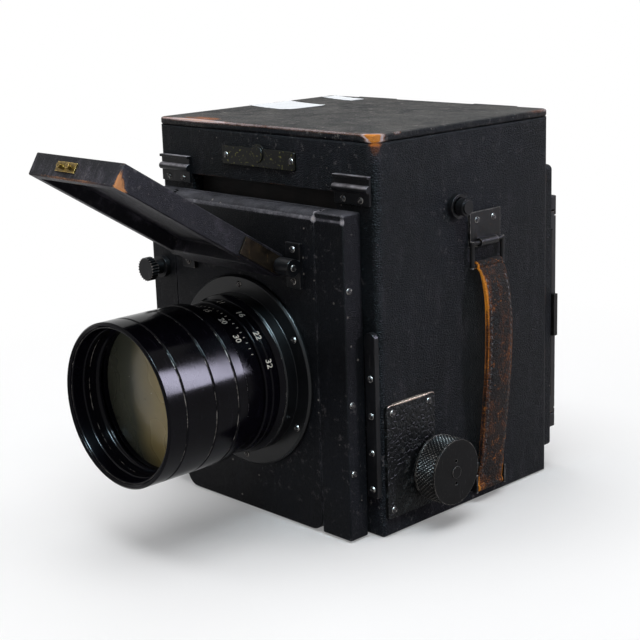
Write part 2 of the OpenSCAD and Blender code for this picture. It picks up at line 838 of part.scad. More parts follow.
module hand_strap() {
    steps = 28;
    first = strap_end_t / (strap_top - strap_bottom);
    outer = [for (i = [0 : steps]) strap_at(first + i * (1 - 2 * first) / steps, 1)];
    inner = [for (i = [steps : -1 : 0]) strap_at(first + i * (1 - 2 * first) / steps, -1)];
    color("#4a2c18") translate([0, strap_y + strap_w / 2, 0]) rotate([90, 0, 0])
        linear_extrude(strap_w) difference() {
            union() {
                polygon(concat(outer, inner));
                for (z = [strap_top, strap_bottom])
                    translate([wire_x, z]) circle(strap_loop_r);
            }
            for (z = [strap_top, strap_bottom])
                translate([wire_x, z]) circle(loop_r + fit_gap);
        }
}

// Collar that the release button sinks into
module button_collar() {
    color("#2b2a2c") difference() {
        bar_x(button_collar_r, side_x, side_x + button_collar_l, -button_y, button_z);
        bar_x(button_r + seat_gap, side_x - 1, side_x + button_collar_l + 1, -button_y, button_z);
    }
}

// Release button on its stem
module release_button() {
    x1 = side_x + button_collar_l + button_out;
    color("#343236") {
        bar_x(button_r, side_x + button_travel + seat_gap, x1 - 1, -button_y, button_z);
        bar_x(button_r - 1, x1 - 1 - weld, x1, -button_y, button_z);
        bar_x(button_stem_r, inner_x - 2, side_x + button_travel + seat_gap + weld, -button_y, button_z);
    }
}

// Leather-covered lid over the viewing hood, with a rib that fits inside the walls
module hood_lid() {
    gap = 2 * seat_gap;
    color("#211f20") {
        translate([0, 0, shell_top]) linear_extrude(lid_t) round_rect(body_w, body_d, corner_r);
        difference() {
            block(-inner_x + gap, inner_x - gap, inner_front + gap, inner_back - gap,
                shell_top - lid_rib_h, shell_top + weld);
            block(-inner_x + gap + lid_rib_w, inner_x - gap - lid_rib_w,
                inner_front + gap + lid_rib_w, inner_back - gap - lid_rib_w,
                shell_top - lid_rib_h - 1, shell_top + 1);
        }
    }
}

// Lid halves of the two hinges
module lid_leaves() {
    centre_l = lid_hinge_l / 3;
    color("#3a3836") for (side = [-1, 1])
        translate([side * lid_hinge_x, 0, 0]) difference() {
            union() {
                block(-lid_hinge_l / 2, lid_hinge_l / 2, back_y, lid_axis_y - lid_knuckle_r / 2,
                    lid_axis_z + lid_knuckle_r - leaf_t, body_h);
                for (x0 = [-lid_hinge_l / 2, centre_l / 2 + seat_gap])
                    bar_x(lid_knuckle_r, x0, x0 + centre_l - seat_gap, lid_axis_y, lid_axis_z);
            }
            bar_x(lid_pin_r + run_gap, -lid_hinge_l, lid_hinge_l, lid_axis_y, lid_axis_z);
            bar_x(lid_knuckle_r + seat_gap, -centre_l / 2 - seat_gap, centre_l / 2 + seat_gap,
                lid_axis_y, lid_axis_z);
        }
}

// Body halves of the two hinges, with their pins
module lid_hinges() {
    centre_l = lid_hinge_l / 3;
    color("#3a3836") for (side = [-1, 1])
        translate([side * lid_hinge_x, 0, 0]) {
            block(-lid_hinge_l / 2, lid_hinge_l / 2, back_y, back_y + leaf_t, leaf_bottom, leaf_top);
            block(-centre_l / 2, centre_l / 2, back_y, back_y + 2 * leaf_t, leaf_top - leaf_t, lid_axis_z);
            bar_x(lid_knuckle_r, -centre_l / 2, centre_l / 2, lid_axis_y, lid_axis_z);
            bar_x(lid_pin_r, -lid_hinge_l / 2, lid_hinge_l / 2, lid_axis_y, lid_axis_z);
        }
}

// Wooden frame of the focusing screen
module screen_frame() {
    rim = 2 * rebate;
    color("#3b2a1c") difference() {
        block(-inner_x, inner_x, screen_front - 2 * rim, screen_back + rim, screen_z, screen_z + screen_t);
        block(-screen_open_w / 2, screen_open_w / 2, screen_front, screen_back, 0, body_h);
        block(-screen_open_w / 2 - rebate, screen_open_w / 2 + rebate, screen_front - rebate,
            screen_back + rebate, screen_z + screen_t - ground_t, body_h);
    }
}

// Ground glass that lies in the frame's rebate
module ground_glass() {
    gap = 0.2;
    color("#c8d0cc", 0.6)
        block(-screen_open_w / 2 - rebate + gap, screen_open_w / 2 + rebate - gap,
            screen_front - rebate + gap, screen_back + rebate - gap,
            screen_z + screen_t - ground_t, screen_z + screen_t);
}

// Pleated square tube of the given width, depth and length along Z
module pleats(w, d, l, n, depth, t) {
    function half(k, inset) = [
        w / 2 - inset - (k % 2) * depth,
        d / 2 - inset - (k % 2) * depth
    ];
    function ring(k, inset) = let (h = half(k, inset), z = k * l / (2 * n))
        [[h[0], h[1], z], [-h[0], h[1], z], [-h[0], -h[1], z], [h[0], -h[1], z]];
    rows = 2 * n;
    points = concat([for (k = [0 : rows]) each ring(k, 0)], [for (k = [0 : rows]) each ring(k, t)]);
    inner = 4 * (rows + 1);
    outside = [for (k = [0 : rows - 1]) for (i = [0 : 3])
        let (a = 4 * k + i, b = 4 * k + (i + 1) % 4) each [[a, a + 4, b], [b, a + 4, b + 4]]];
    inside = [for (k = [0 : rows - 1]) for (i = [0 : 3])
        let (a = inner + 4 * k + i, b = inner + 4 * k + (i + 1) % 4)
            each [[a, b, a + 4], [b, b + 4, a + 4]]];
    bottom = [for (i = [0 : 3])
        let (a = i, b = (i + 1) % 4) each [[a, b, inner + a], [b, inner + b, inner + a]]];
    top = [for (i = [0 : 3])
        let (a = 4 * rows + i, b = 4 * rows + (i + 1) % 4)
            each [[a, inner + a, b], [b, inner + a, inner + b]]];
    polyhedron(points, concat(outside, inside, bottom, top));
}

// Folded leather viewing hood under its top frame
module hood_leather() {
    d = hood_back - hood_front;
    fold_top = hood_top - hood_frame_t;
    color("#171516") {
        translate([0, screen_y, hood_bottom])
            pleats(hood_w, d, fold_top - hood_bottom + weld, hood_folds, hood_fold_d, hood_t);
        difference() {
            block(-hood_w / 2, hood_w / 2, hood_front, hood_back, fold_top, hood_top);
            block(-hood_w / 2 + hood_fold_d, hood_w / 2 - hood_fold_d,
                hood_front + hood_fold_d, hood_back - hood_fold_d, fold_top - 1, hood_top + 1);
        }
    }
}

// Pieces of the mirror lie level here and are turned down to their rest
module mirror_down() {
    translate([0, mirror_y, mirror_z]) rotate([45, 0, 0]) children();
}

// Mirror board on its shaft
module mirror_frame() {
    lever_x = -side_x - seat_gap;
    color("#2a2826") {
        mirror_down() difference() {
            block(-mirror_w / 2, mirror_w / 2, -mirror_l, 0, -mirror_t / 2, mirror_t / 2);
            block(-mirror_w / 2 + mirror_rim, mirror_w / 2 - mirror_rim, -mirror_l + mirror_rim,
                -2 * mirror_rim, mirror_t / 2 - mirror_glass_t, mirror_t);
        }
        bar_x(mirror_shaft_r, lever_x - lever_t / 2, inner_x + blind_bore - 1, mirror_y, mirror_z);
    }
}

// Silvered glass in the mirror board
module mirror_glass() {
    gap = 0.2;
    color("#b8c0c6") mirror_down()
        block(-mirror_w / 2 + mirror_rim + gap, mirror_w / 2 - mirror_rim - gap,
            -mirror_l + mirror_rim + gap, -2 * mirror_rim - gap,
            mirror_t / 2 - mirror_glass_t, mirror_t / 2);
}

// Lever on the left side that sets the mirror
module mirror_lever() {
    x1 = -side_x - seat_gap;
    x0 = x1 - lever_t;
    color("#6d675e") difference() {
        union() {
            across_x(x0, x1) {
                translate([mirror_y, mirror_z]) circle(lever_w * 0.7);
                translate([mirror_y - lever_l, mirror_z - lever_w / 2]) square([lever_l, lever_w]);
                translate([mirror_y - lever_l, mirror_z]) circle(lever_w / 2);
            }
            bar_x(lever_knob_r, x0 - 2 * lever_t, x0 + weld, mirror_y - lever_l, mirror_z);
        }
        bar_x(mirror_shaft_r + fit_gap, x1 - lever_t / 2 - fit_gap, x1 + 1, mirror_y, mirror_z);
    }
}

// Metal plates inside the case that carry the blind's rollers
module roller_plates() {
    pad = 2 * roller_r;
    color("#4a4844") for (side = [-1, 1])
        mirror([side < 0 ? 1 : 0, 0, 0]) difference() {
            block(bearing_x, inner_x, roller_y - roller_r, inner_back - fit_gap,
                lower_z - pad, upper_z + pad);
            for (z = [upper_z, lower_z])
                bar_x(roller_shaft_r + run_gap, bearing_x - 1, inner_x + 1, roller_y, z);
        }
}

// Upper roller of the blind, on one shaft with the winding knob
module upper_roller() {
    color("#5a4632") {
        bar_x(roller_r, -roller_x, roller_x, roller_y, upper_z);
        bar_x(roller_shaft_r, -side_x - dial_t, inner_x - seat_gap, roller_y, upper_z);
    }
}

// Lower roller of the blind, on a shaft between the two plates
module lower_roller() {
    color("#5a4632") {
        bar_x(roller_r, -roller_x, roller_x, roller_y, lower_z);
        bar_x(roller_shaft_r, -inner_x + seat_gap, inner_x - seat_gap, roller_y, lower_z);
    }
}

// Cloth blind between the rollers
module shutter_blind() {
    half = roller_x - roller_r;
    color("#0f0f10") block(-half, half, blind_y, blind_y + blind_t, lower_z, upper_z);
}

// Fluted knob that winds the shutter
module wind_knob() {
    x1 = -side_x - seat_gap;
    neck_l = 2;
    wind_neck = 3;
    color("#5e584e") difference() {
        union() {
            bar_x(wind_r - wind_neck, x1 - neck_l, x1, roller_y, upper_z);
            translate([x1 - neck_l + weld, roller_y, upper_z]) rotate([0, -90, 0])
                linear_extrude(wind_l) fluted(wind_r, wind_flutes, flute_d);
        }
        bar_x(roller_shaft_r + fit_gap, -side_x - dial_t - fit_gap, x1 + 1, roller_y, upper_z);
    }
}

// Dial, small fluted knob and shaft that set the shutter's speed
module speed_dial() {
    x1 = -side_x - seat_gap;
    color("#5e584e") {
        bar_x(dial_r, x1 - dial_t, x1, roller_y, lower_z);
        translate([x1 - dial_t + weld, roller_y, lower_z]) rotate([0, -90, 0])
            linear_extrude(dial_knob_l) fluted(dial_knob_r, wind_flutes, flute_d);
        bar_x(roller_shaft_r, x1 - weld, -inner_x - seat_gap, roller_y, lower_z);
    }
}

// Square reversing back with the picture opening
module reversing_back() {
    color("#1c1a1b") across_y(back_y, back_plate_y) translate([0, back_z]) difference() {
        round_rect(back_w, back_w, corner_r);
        square(image_open, center = true);
    }
}

// Grooved rails and end stop that hold the plate holder
module holder_rails() {
    groove_y0 = (holder_y0 + holder_y1 - holder_tongue_t) / 2 - seat_gap;
    groove_y1 = groove_y0 + holder_tongue_t + 2 * seat_gap;
    color("#201e1f") difference() {
        block(-rail_w / 2, rail_w / 2, back_plate_y, rail_y, rail_bottom, rail_top);
        block(-rail_w / 2 + rail_h, rail_w, back_plate_y - 1, rail_y + 1,
            rail_bottom + rail_h, rail_top - rail_h);
        block(-rail_w / 2 + rail_h, rail_w, groove_y0, groove_y1,
            rail_bottom + rail_h - rail_groove, rail_top - rail_h + rail_groove);
    }
}

// Plate holder with its tongues, slot and window
module plate_holder() {
    mid_y = (holder_y0 + holder_y1) / 2;
    tongue_h = holder_h / 2 + rail_groove - seat_gap;
    slot_y0 = holder_y0 + sheath_t + seat_gap;
    window_h = sheath_h - 4 * rail_groove;
    color("#2a2522") translate([0, 0, holder_z]) difference() {
        union() {
            block(holder_x0, holder_x1, holder_y0, holder_y1, -holder_h / 2, holder_h / 2);
            block(holder_x0, holder_x1, mid_y - holder_tongue_t / 2, mid_y + holder_tongue_t / 2,
                -tongue_h, tongue_h);
        }
        block(holder_x0 + rail_h - seat_gap, holder_x1 + 1, slot_y0, slot_y0 + sheath_t + 2 * seat_gap,
            -sheath_h / 2 - seat_gap, sheath_h / 2 + seat_gap);
        block(holder_x0 + 2 * rail_h, holder_x1 - 2 * rail_h, holder_y0 - 1, slot_y0 + weld,
            -window_h / 2, window_h / 2);
        block(holder_x0 + rail_h, holder_x1 - rail_h, holder_y1 - sheath_t / 2, holder_y1 + 1,
            -window_h / 2, window_h / 2);
    }
}

// Thin dark slide with its pull
module dark_slide() {
    y0 = holder_y0 + sheath_t + 2 * seat_gap;
    pull_l = 3;
    pull_h = 24;
    color("#101011") translate([0, 0, holder_z]) {
        block(holder_x0 + rail_h, holder_x1 + seat_gap + weld, y0, y0 + sheath_t,
            -sheath_h / 2, sheath_h / 2);
        block(holder_x1 + seat_gap, holder_x1 + seat_gap + pull_l, y0 - sheath_t, y0 + 2 * sheath_t,
            -pull_h / 2, pull_h / 2);
    }
}

// Shaft across the case that carries the pinions and the knob
module focus_shaft() {
    color("#7a7264") bar_x(shaft_r, -inner_x - blind_bore + 1, knob_x0 + knob_l / 2, shaft_y, shaft_z);
}

// Involute flank of a pinion tooth, as polar points from root to tip
function involute_angle(a) = tan(a) * 180 / PI - a;
function flank_angle(r) = let (base = pitch_r * cos(pressure))
    90 / pinion_teeth - tooth_slack / 4 / pitch_r * 180 / PI + involute_angle(pressure)
    - (r > base ? involute_angle(acos(base / r)) : 0);
function flank_radii() = let (root = pitch_r - dedendum, tip = pitch_r + addendum, n = 5)
    [for (i = [0 : n]) root + (tip - root) * i / n];

module pinion_outline() {
    radii = flank_radii();
    n = len(radii);
    points = [for (tooth = [0 : pinion_teeth - 1]) each concat(
        [for (i = [0 : n - 1]) let (a = tooth * 360 / pinion_teeth - flank_angle(radii[i]))
            radii[i] * [cos(a), sin(a)]],
        [for (i = [n - 1 : -1 : 0]) let (a = tooth * 360 / pinion_teeth + flank_angle(radii[i]))
            radii[i] * [cos(a), sin(a)]])];
    polygon(points);
}

// Pair of brass pinions on the focusing shaft, each with a tooth pointing down
module pinions() {
    color("#b08d4c") for (side = [-1, 1])
        difference() {
            across_x(side * rack_x - rack_w / 2, side * rack_x + rack_w / 2)
                translate([shaft_y, shaft_z]) rotate(-90) pinion_outline();
            bar_x(shaft_r + fit_gap, -side_x, side_x, shaft_y, shaft_z);
        }
}

// Core of the focusing knob with its two rims and end screw
module focus_knob() {
    rim_r = knob_r - milling_h / 2;
    x_plate = side_x + plate_t + seat_gap;
    color("#1b1b1d") difference() {
        union() {
            bar_x(2 * shaft_r, x_plate, knob_x0 + weld, shaft_y, shaft_z);
            bar_x(knob_core_r, knob_x0, knob_x1 - weld, shaft_y, shaft_z);
            bar_x(rim_r, knob_x0, knob_x0 + knob_rim_t, shaft_y, shaft_z);
            bar_x(rim_r, knob_x1 - knob_rim_t, knob_x1, shaft_y, shaft_z);
            bar_x(1.1 * shaft_r, knob_x1 - weld, knob_x1 + knob_rim_t / 2, shaft_y, shaft_z);
        }
        bar_x(shaft_r + fit_gap, x_plate - 1, knob_x0 + knob_l / 2 + fit_gap, shaft_y, shaft_z);
        for (dz = [-1, 1])
            bar_x(screw_r / 2, knob_x1 - knob_rim_t, knob_x1 + 1, shaft_y, shaft_z + dz * 2 * shaft_r);
    }
}

// Sleeve round the knob with rows of raised diamonds
module knob_milling() {
    x0 = knob_x0 + knob_rim_t;
    l = knob_l - 2 * knob_rim_t;
    inner_r = knob_core_r + 2 * fit_gap;
    around = 2 * milling_count;
    rows = 2 * milling_rows;
    function peak(a, j) = (a + j) % 2 == 1 && j > 0 && j < rows;
    function radius(a, j) = peak(a, j) ? knob_r : knob_r - milling_h;
    function at(r, a, x) = [x, r * cos(a * 360 / around), r * sin(a * 360 / around)];
    outer = [for (j = [0 : rows]) for (a = [0 : around - 1]) at(radius(a, j), a, j * l / rows)];
    rings = [for (x = [0, l]) for (a = [0 : around - 1]) at(inner_r / cos(180 / around), a, x)];
    first = len(outer);
    function spot(a, j) = j * around + (a + around) % around;
    function lower(a, j) = let (tip = spot(a, j), foot = spot(a, j - 1))
        [[tip, foot, spot(a + 1, j)], [tip, spot(a - 1, j), foot]];
    function upper(a, j) = let (tip = spot(a, j), foot = spot(a, j + 1))
        [[tip, spot(a + 1, j), foot], [tip, foot, spot(a - 1, j)]];
    diamonds = [for (j = [0 : rows]) for (a = [0 : around - 1]) if ((a + j) % 2 == 1) each concat(
        j > 0 ? lower(a, j) : [],
        j < rows ? upper(a, j) : [])];
    ends = [for (a = [0 : around - 1])
        let (b = (a + 1) % around, c = first + a, d = first + b, e = c + around, f = d + around)
            each [[spot(a, 0), c, spot(b, 0)], [spot(b, 0), c, d],
                [spot(a, rows), spot(b, rows), e], [spot(b, rows), f, e],
                [c, e, d], [d, e, f]]];
    color("#262528") translate([x0, shaft_y, shaft_z])
        polyhedron(concat(outer, rings), concat(diamonds, ends));
}

// Toothed bars that the pinions drive, each with a foot on the front standard
module racks() {
    slope = tan(pressure);
    half = tooth_pitch / 4 - tooth_slack / 4;
    teeth = floor((focus_travel + standard_out + 2 * pitch_r) / tooth_pitch);
    start = shaft_y - standard_out - pitch_r;
    first = ceil((start - shaft_y) / tooth_pitch - 0.5);
    outline = concat(
        [[standard_back, rack_bottom_z], [standard_back, rack_root_z]],
        [for (i = [0 : teeth - 1]) let (y = shaft_y + (first + i + 0.5) * tooth_pitch) each [
            [y - half - dedendum * slope, rack_root_z],
            [y - half + addendum * slope, rack_pitch_z + addendum],
            [y + half - addendum * slope, rack_pitch_z + addendum],
            [y + half + dedendum * slope, rack_root_z]]],
        [[rack_end, rack_root_z], [rack_end, rack_bottom_z]]);
    color("#b08d4c") for (side = [-1, 1]) {
        across_x(side * rack_x - rack_w / 2, side * rack_x + rack_w / 2) polygon(outline);
        translate([side * rack_x, 0, 0])
            block(-rack_w / 2, rack_w / 2, standard_back, standard_back + foot_t, rack_bottom_z, shaft_z);
    }
}

// Channels on the floor of the case that the racks slide in
module rack_guides() {
    half = rack_w / 2;
    lip = 1.5;
    color("#4a3a28") for (side = [-1, 1])
        translate([side * rack_x, 0, 0]) difference() {
            block(-half - seat_gap - lip, half + seat_gap + lip, inner_front, shaft_y + focus_travel,
                wall, rack_bottom_z + 2 * lip);
            block(-half - seat_gap, half + seat_gap, inner_front - 1, back_y,
                rack_bottom_z - seat_gap, body_h);
        }
}

// Front standard: a board with a light opening and a block on each side of the rising panel
module front_standard() {
    groove = tongue_t / 2 + seat_gap;
    color("#1f1d1e") difference() {
        union() {
            block(-standard_w / 2, standard_w / 2, board_front, standard_back, panel_z, standard_h);
            block(block_inner, standard_w / 2, standard_front, board_front + weld, panel_z, standard_h);
            across_y(standard_front, board_front + weld) {
                translate([-standard_w / 2, left_block_z + block_w / 2])
                    square([block_w, standard_h - left_block_z - block_w / 2]);
                translate([-standard_w / 2 + block_w / 2, left_block_z + block_w / 2]) circle(block_w / 2);
            }
        }
        block(-board_open_w / 2, board_open_w / 2, board_front - 1, standard_back + 1,
            board_open_bottom, board_open_top);
        block(-block_inner - tongue_d - panel_gap, block_inner + tongue_d + panel_gap,
            tongue_y - groove, tongue_y + groove, panel_z - 1, standard_h + 1);
        bar_y(lock_stem_r + run_gap, standard_front - 1, standard_front + block_w / 3, lock_x, lock_z);
    }
}

// Small screws in the outer faces of the side blocks
module standard_screws() {
    color("#8c8476") for (z = block_screws) {
        screw_right(standard_w / 2, standard_front + 2 * screw_r, z, z);
        screw_left(-standard_w / 2, standard_front + 2 * screw_r, z, z);
    }
}

// Leather bellows between the standard's board and the frame inside the case
module bellows() {
    h = bellows_top - bellows_bottom;
    color("#151314") translate([0, inner_front, (bellows_top + bellows_bottom) / 2]) rotate([90, 0, 0])
        pleats(bellows_w, h, inner_front - standard_back, folds, fold_d, bellows_t);
}

// Frame inside the case that the bellows is glued to
module bellows_frame() {
    edge = fold_d + 2 * bellows_t;
    half = front_open_w / 2 + 2 * bellows_t;
    color("#2c2622") difference() {
        block(-half, half, inner_front, inner_front + board_t, wall, front_open_top + 2 * bellows_t);
        block(-bellows_w / 2 + edge, bellows_w / 2 - edge, inner_front - 1, inner_front + board_t + 1,
            bellows_bottom + edge, bellows_top - edge);
    }
}

// Side outline of the rising panel, with its round top front edge
module panel_side() {
    t = panel_back - standard_front;
    h = panel_top - panel_z;
    translate([standard_front, panel_z]) intersection() {
        square([t, h]);
        union() {
            square([t, h - panel_round]);
            translate([panel_round, 0]) square([t, h]);
            translate([panel_round, h - panel_round]) circle(panel_round);
        }
    }
}

// Panel that carries the lens and the flap, and rises between the blocks
module rising_panel() {
    color("#242122") difference() {
        union() {
            intersection() {
                across_x(-panel_w / 2, panel_w / 2) panel_side();
                across_y(standard_front - 1, panel_back + 1)
                    translate([0, (panel_z + panel_top) / 2 + panel_corner_r / 2]) {
                        square([panel_w, panel_top - panel_z - panel_corner_r], center = true);
                        translate([0, -(panel_top - panel_z) / 2 + panel_corner_r / 2])
                            round_rect(panel_w, 2 * panel_corner_r, panel_corner_r - weld);
                    }
            }
            block(-panel_w / 2 - tongue_d, panel_w / 2 + tongue_d, tongue_y - tongue_t / 2,
                tongue_y + tongue_t / 2, panel_z + panel_corner_r + block_w / 2, panel_top - panel_round);
        }
        bar_y(panel_bore_r, standard_front - 1, panel_back + 1, 0, lens_z);
    }
}

// Milled screw that locks the rising panel
module rise_lock() {
    y0 = standard_front - seat_gap;
    collar_l = 3;
    collar_in = 0.5;
    neck = 1.5;
    head_l = 4.5;
    color("#4a463e") {
        bar_y(lock_stem_r, y0 - lock_l + head_l, standard_front + block_w / 3 - 1, lock_x, lock_z);
        bar_y(lock_r - collar_in, y0 - collar_l, y0, lock_x, lock_z);
        bar_y(lock_stem_r + neck, y0 - lock_l + head_l - weld, y0 - collar_l + weld, lock_x, lock_z);
        translate([lock_x, y0 - lock_l + head_l, lock_z]) rotate([90, 0, 0])
            linear_extrude(head_l) fluted(lock_r, lock_flutes, flute_d);
    }
}

// Brackets with knuckles and pins that carry the flap
module hinge_brackets() {
    color("#3a3838") for (side = [-1, 1])
        mirror([side < 0 ? 1 : 0, 0, 0]) {
            block(bracket_x0, bracket_x1, standard_front - bracket_t, standard_front,
                flap_z - bracket_h / 2, flap_z + bracket_h / 2);
            block(bracket_x0, bracket_x1, flap_y, standard_front - weld,
                flap_z - knuckle_r / 1.5, flap_z + knuckle_r / 1.5);
            bar_x(knuckle_r, bracket_x0, bracket_x1, flap_y, flap_z);
            bar_x(flap_pin_r, flap_w / 2 - flap_pin_l, bracket_x1 - weld, flap_y, flap_z);
        }
}

// Screw heads on the rising panel, its brackets and the lens flange
module panel_screws() {
    ring_r = (flange_r + collar_r) / 2;
    dz = bracket_h / 2 - 2 * screw_r;
    color("#8c8476") {
        for (i = [0 : 5])
            screw_front(ring_r * cos(60 * i + 30), standard_front - flange_t,
                lens_z + ring_r * sin(60 * i + 30), slot_turn * i);
        for (side = [-1, 1]) {
            for (z = [flap_z - dz, flap_z + dz])
                screw_front(side * (bracket_x0 + bracket_x1) / 2, standard_front - bracket_t, z, z);
        }
        screw_right(bracket_x1, flap_y, flap_z, slot_turn);
        screw_left(-bracket_x1, flap_y, flap_z, slot_turn);
    }
}

// Pieces of the flap lie level here and are turned up to their rest
module flap_up() {
    translate([0, flap_y, flap_z]) rotate([-flap_angle, 0, 0]) children();
}

// Flap that shades and covers the lens, hollow underneath
module lens_flap() {
    half = flap_w / 2;
    bore_l = flap_pin_l + seat_gap;
    color("#26242a") flap_up() difference() {
        union() {
            block(-half, half, -flap_l, 0, -flap_t / 2, flap_t / 2);
            bar_x(flap_t / 2, -half, half, 0, 0);
        }
        block(-half + flap_edge, half - flap_edge, -flap_l + flap_edge, -flap_tray_start,
            -flap_t, -flap_t / 2 + flap_recess);
        bar_x(flap_pin_r + run_gap, -half - 1, -half + bore_l, 0, 0);
        bar_x(flap_pin_r + run_gap, half - bore_l, half + 1, 0, 0);
    }
}

// Brass straps on the flap's sides at the hinge
module flap_straps() {
    half = flap_w / 2;
    r = flap_t / 2 - 1.4;
    color("#6b5a32") flap_up() for (side = [-1, 1])
        mirror([side < 0 ? 1 : 0, 0, 0]) difference() {
            across_x(half, half + flap_strap_t) {
                circle(r);
                translate([-flap_strap_l, -r]) square([flap_strap_l, 2 * r]);
            }
            bar_x(flap_pin_r + run_gap, half - 1, half + flap_strap_t + 1, 0, 0);
        }
}

// Brass catch plate with two studs on the flap's tip
module flap_catch() {
    plate_l = 15;
    plate_h = 5;
    plate_x = -6;
    stud_r = 1.3;
    stud_l = 2.2;
    stud_x = 3.5;
    color("#9a8247") flap_up() translate([plate_x, -flap_l, 0]) {
        block(-plate_l / 2, plate_l / 2, -catch_t, 0, -plate_h / 2, plate_h / 2);
        for (dx = [-stud_x, stud_x])
            bar_y(stud_r, -catch_t - stud_l, -catch_t + weld, dx, 0);
    }
}

// Flange and collar on the rising panel
module lens_flange() {
    chamfer = 1;
    color("#2e2e33") turned() polygon([
        [tube_r + fit_gap, 0], [flange_r, 0], [flange_r, flange_t - chamfer],
        [flange_r - chamfer, flange_t],
        [collar_r, flange_t], [collar_r, collar_f - chamfer], [collar_r - chamfer, collar_f],
        [tube_r + fit_gap, collar_f]]);
}

// Lens tube with the seat of the iris ring, the shelf for the leaves and the rear glass's ledge
module lens_tube() {
    back_r = rear_glass_r + fit_gap;
    ledge_f = rear_glass_t / 2 + (rear_glass_t - 2 * rear_sag) / 2 + 0.4;
    color("#16161a") difference() {
        turned() polygon([
            [back_r, 0], [tube_r, 0], [tube_r, ring_f - ring_play], [ring_seat_r, ring_f - ring_play],
            [ring_seat_r, ring_f + iris_ring_w + ring_play], [tube_r, ring_f + iris_ring_w + ring_play],
            [tube_r, tube_f], [tube_inner, tube_f], [tube_inner, shelf_f + shelf_t],
            [shelf_r, shelf_f + shelf_t], [shelf_r, shelf_f], [tube_inner, shelf_f],
            [tube_inner, ledge_f + 2], [rear_glass_r - 2, ledge_f + 2], [rear_glass_r - 2, ledge_f],
            [back_r, ledge_f]]);
        for (i = [0 : leaf_count - 1])
            translate([leaf_pivot_r * cos(i * leaf_step), 0, lens_z + leaf_pivot_r * sin(i * leaf_step)])
                bar_y(leaf_pin_r + run_gap, standard_front - shelf_f - shelf_t - 1,
                    standard_front - shelf_f + 1, 0, 0);
    }
}

// Ring that sets the iris
module iris_ring() {
    groove = 0.6;
    mid = ring_f + iris_ring_w / 2;
    color("#1a1a1e") turned() polygon([
        [ring_seat_r + run_gap, ring_f], [iris_ring_r - groove, ring_f], [iris_ring_r, ring_f + groove],
        [iris_ring_r, mid - groove], [iris_ring_r - groove, mid], [iris_ring_r, mid + groove],
        [iris_ring_r, ring_f + iris_ring_w - groove], [iris_ring_r - groove, ring_f + iris_ring_w],
        [ring_seat_r + run_gap, ring_f + iris_ring_w]]);
}

// Long front barrel with turned grooves, glass seat and hood
module front_barrel() {
    seat_r = front_glass_r + fit_gap;
    hood_r = barrel_r - rim_wall;
    edge_back = glass_back_f + front_sag;
    edge_front = glass_f - front_sag;
    inner_r = front_glass_r - ledge_w;
    bead = 1;
    color("#17171c") difference() {
        turned() polygon([
            [tube_inner, tube_f], [barrel_r - bead, tube_f], [barrel_r, tube_f + bead],
            [barrel_r, rim_f - bead], [barrel_r - bead, rim_f], [hood_r + bead, rim_f],
            [hood_r, rim_f - bead],
            [hood_r, edge_front + ledge_w], [seat_r, edge_front + ledge_w], [seat_r, edge_back - 0.6],
            [inner_r, edge_back - 0.6], [inner_r, tube_f + 3 * bead], [tube_inner, tube_f + 2 * bead]]);
        for (d = [groove_1, groove_2, groove_3])
            turned() translate([barrel_r, rim_f - d]) rotate(45) square(groove_w * sqrt(2), center = true);
    }
}

// Lens element bowed on both faces, from its back vertex forward
function bow(r) = glass_bow_r - sqrt(glass_bow_r * glass_bow_r - r * r);

module element(r, t, back_f) {
    steps = 8;
    back = [for (i = [0 : steps]) [r * i / steps, back_f + bow(r * i / steps)]];
    front = [for (i = [steps : -1 : 0]) [r * i / steps, back_f + t - bow(r * i / steps)]];
    turned() polygon(concat(back, front));
}

module front_glass() {
    color("#c2bd9a", 0.5) element(front_glass_r, front_glass_t, glass_back_f);
}

module rear_glass() {
    color("#c2bd9a", 0.5) element(rear_glass_r, rear_glass_t, 0);
}

// Curved iris leaf on its pivot pin, tilted so that it passes over the next leaf
module iris_leaf(i) {
    color("#3d4148") translate([0, standard_front, lens_z]) rotate([90, 0, 0]) rotate(i * leaf_step)
        translate([leaf_pivot_r, 0, leaf_f]) {
            rotate([0, 0, leaf_far_angle]) rotate([0, -leaf_tilt, 0]) rotate([0, 0, -leaf_far_angle])
                linear_extrude(leaf_thick) translate([-leaf_pivot_r, 0]) leaf_outline();
            translate([0, 0, -shelf_t - leaf_gap])
                cylinder(r = leaf_pin_r, h = shelf_t + leaf_gap + leaf_thick);
        }
}

module leaf_outline() {
    half = leaf_w / 2;
    far = 2 * leaf_pivot_r;
    intersection() {
        difference() {
            circle(leaf_pivot_r + half);
            circle(leaf_pivot_r - half);
        }
        polygon([[0, 0], [far, 0], [far, far], [far * cos(leaf_span), far],
            [far * cos(leaf_span), far * sin(leaf_span)]]);
    }
    translate([leaf_pivot_r, 0]) circle(half);
}

module iris_leaf_1() {
    iris_leaf(0);
}

module iris_leaf_2() {
    iris_leaf(1);
}

module iris_leaf_3() {
    iris_leaf(2);
}

module iris_leaf_4() {
    iris_leaf(3);
}

module iris_leaf_5() {
    iris_leaf(4);
}

module iris_leaf_6() {
    iris_leaf(5);
}

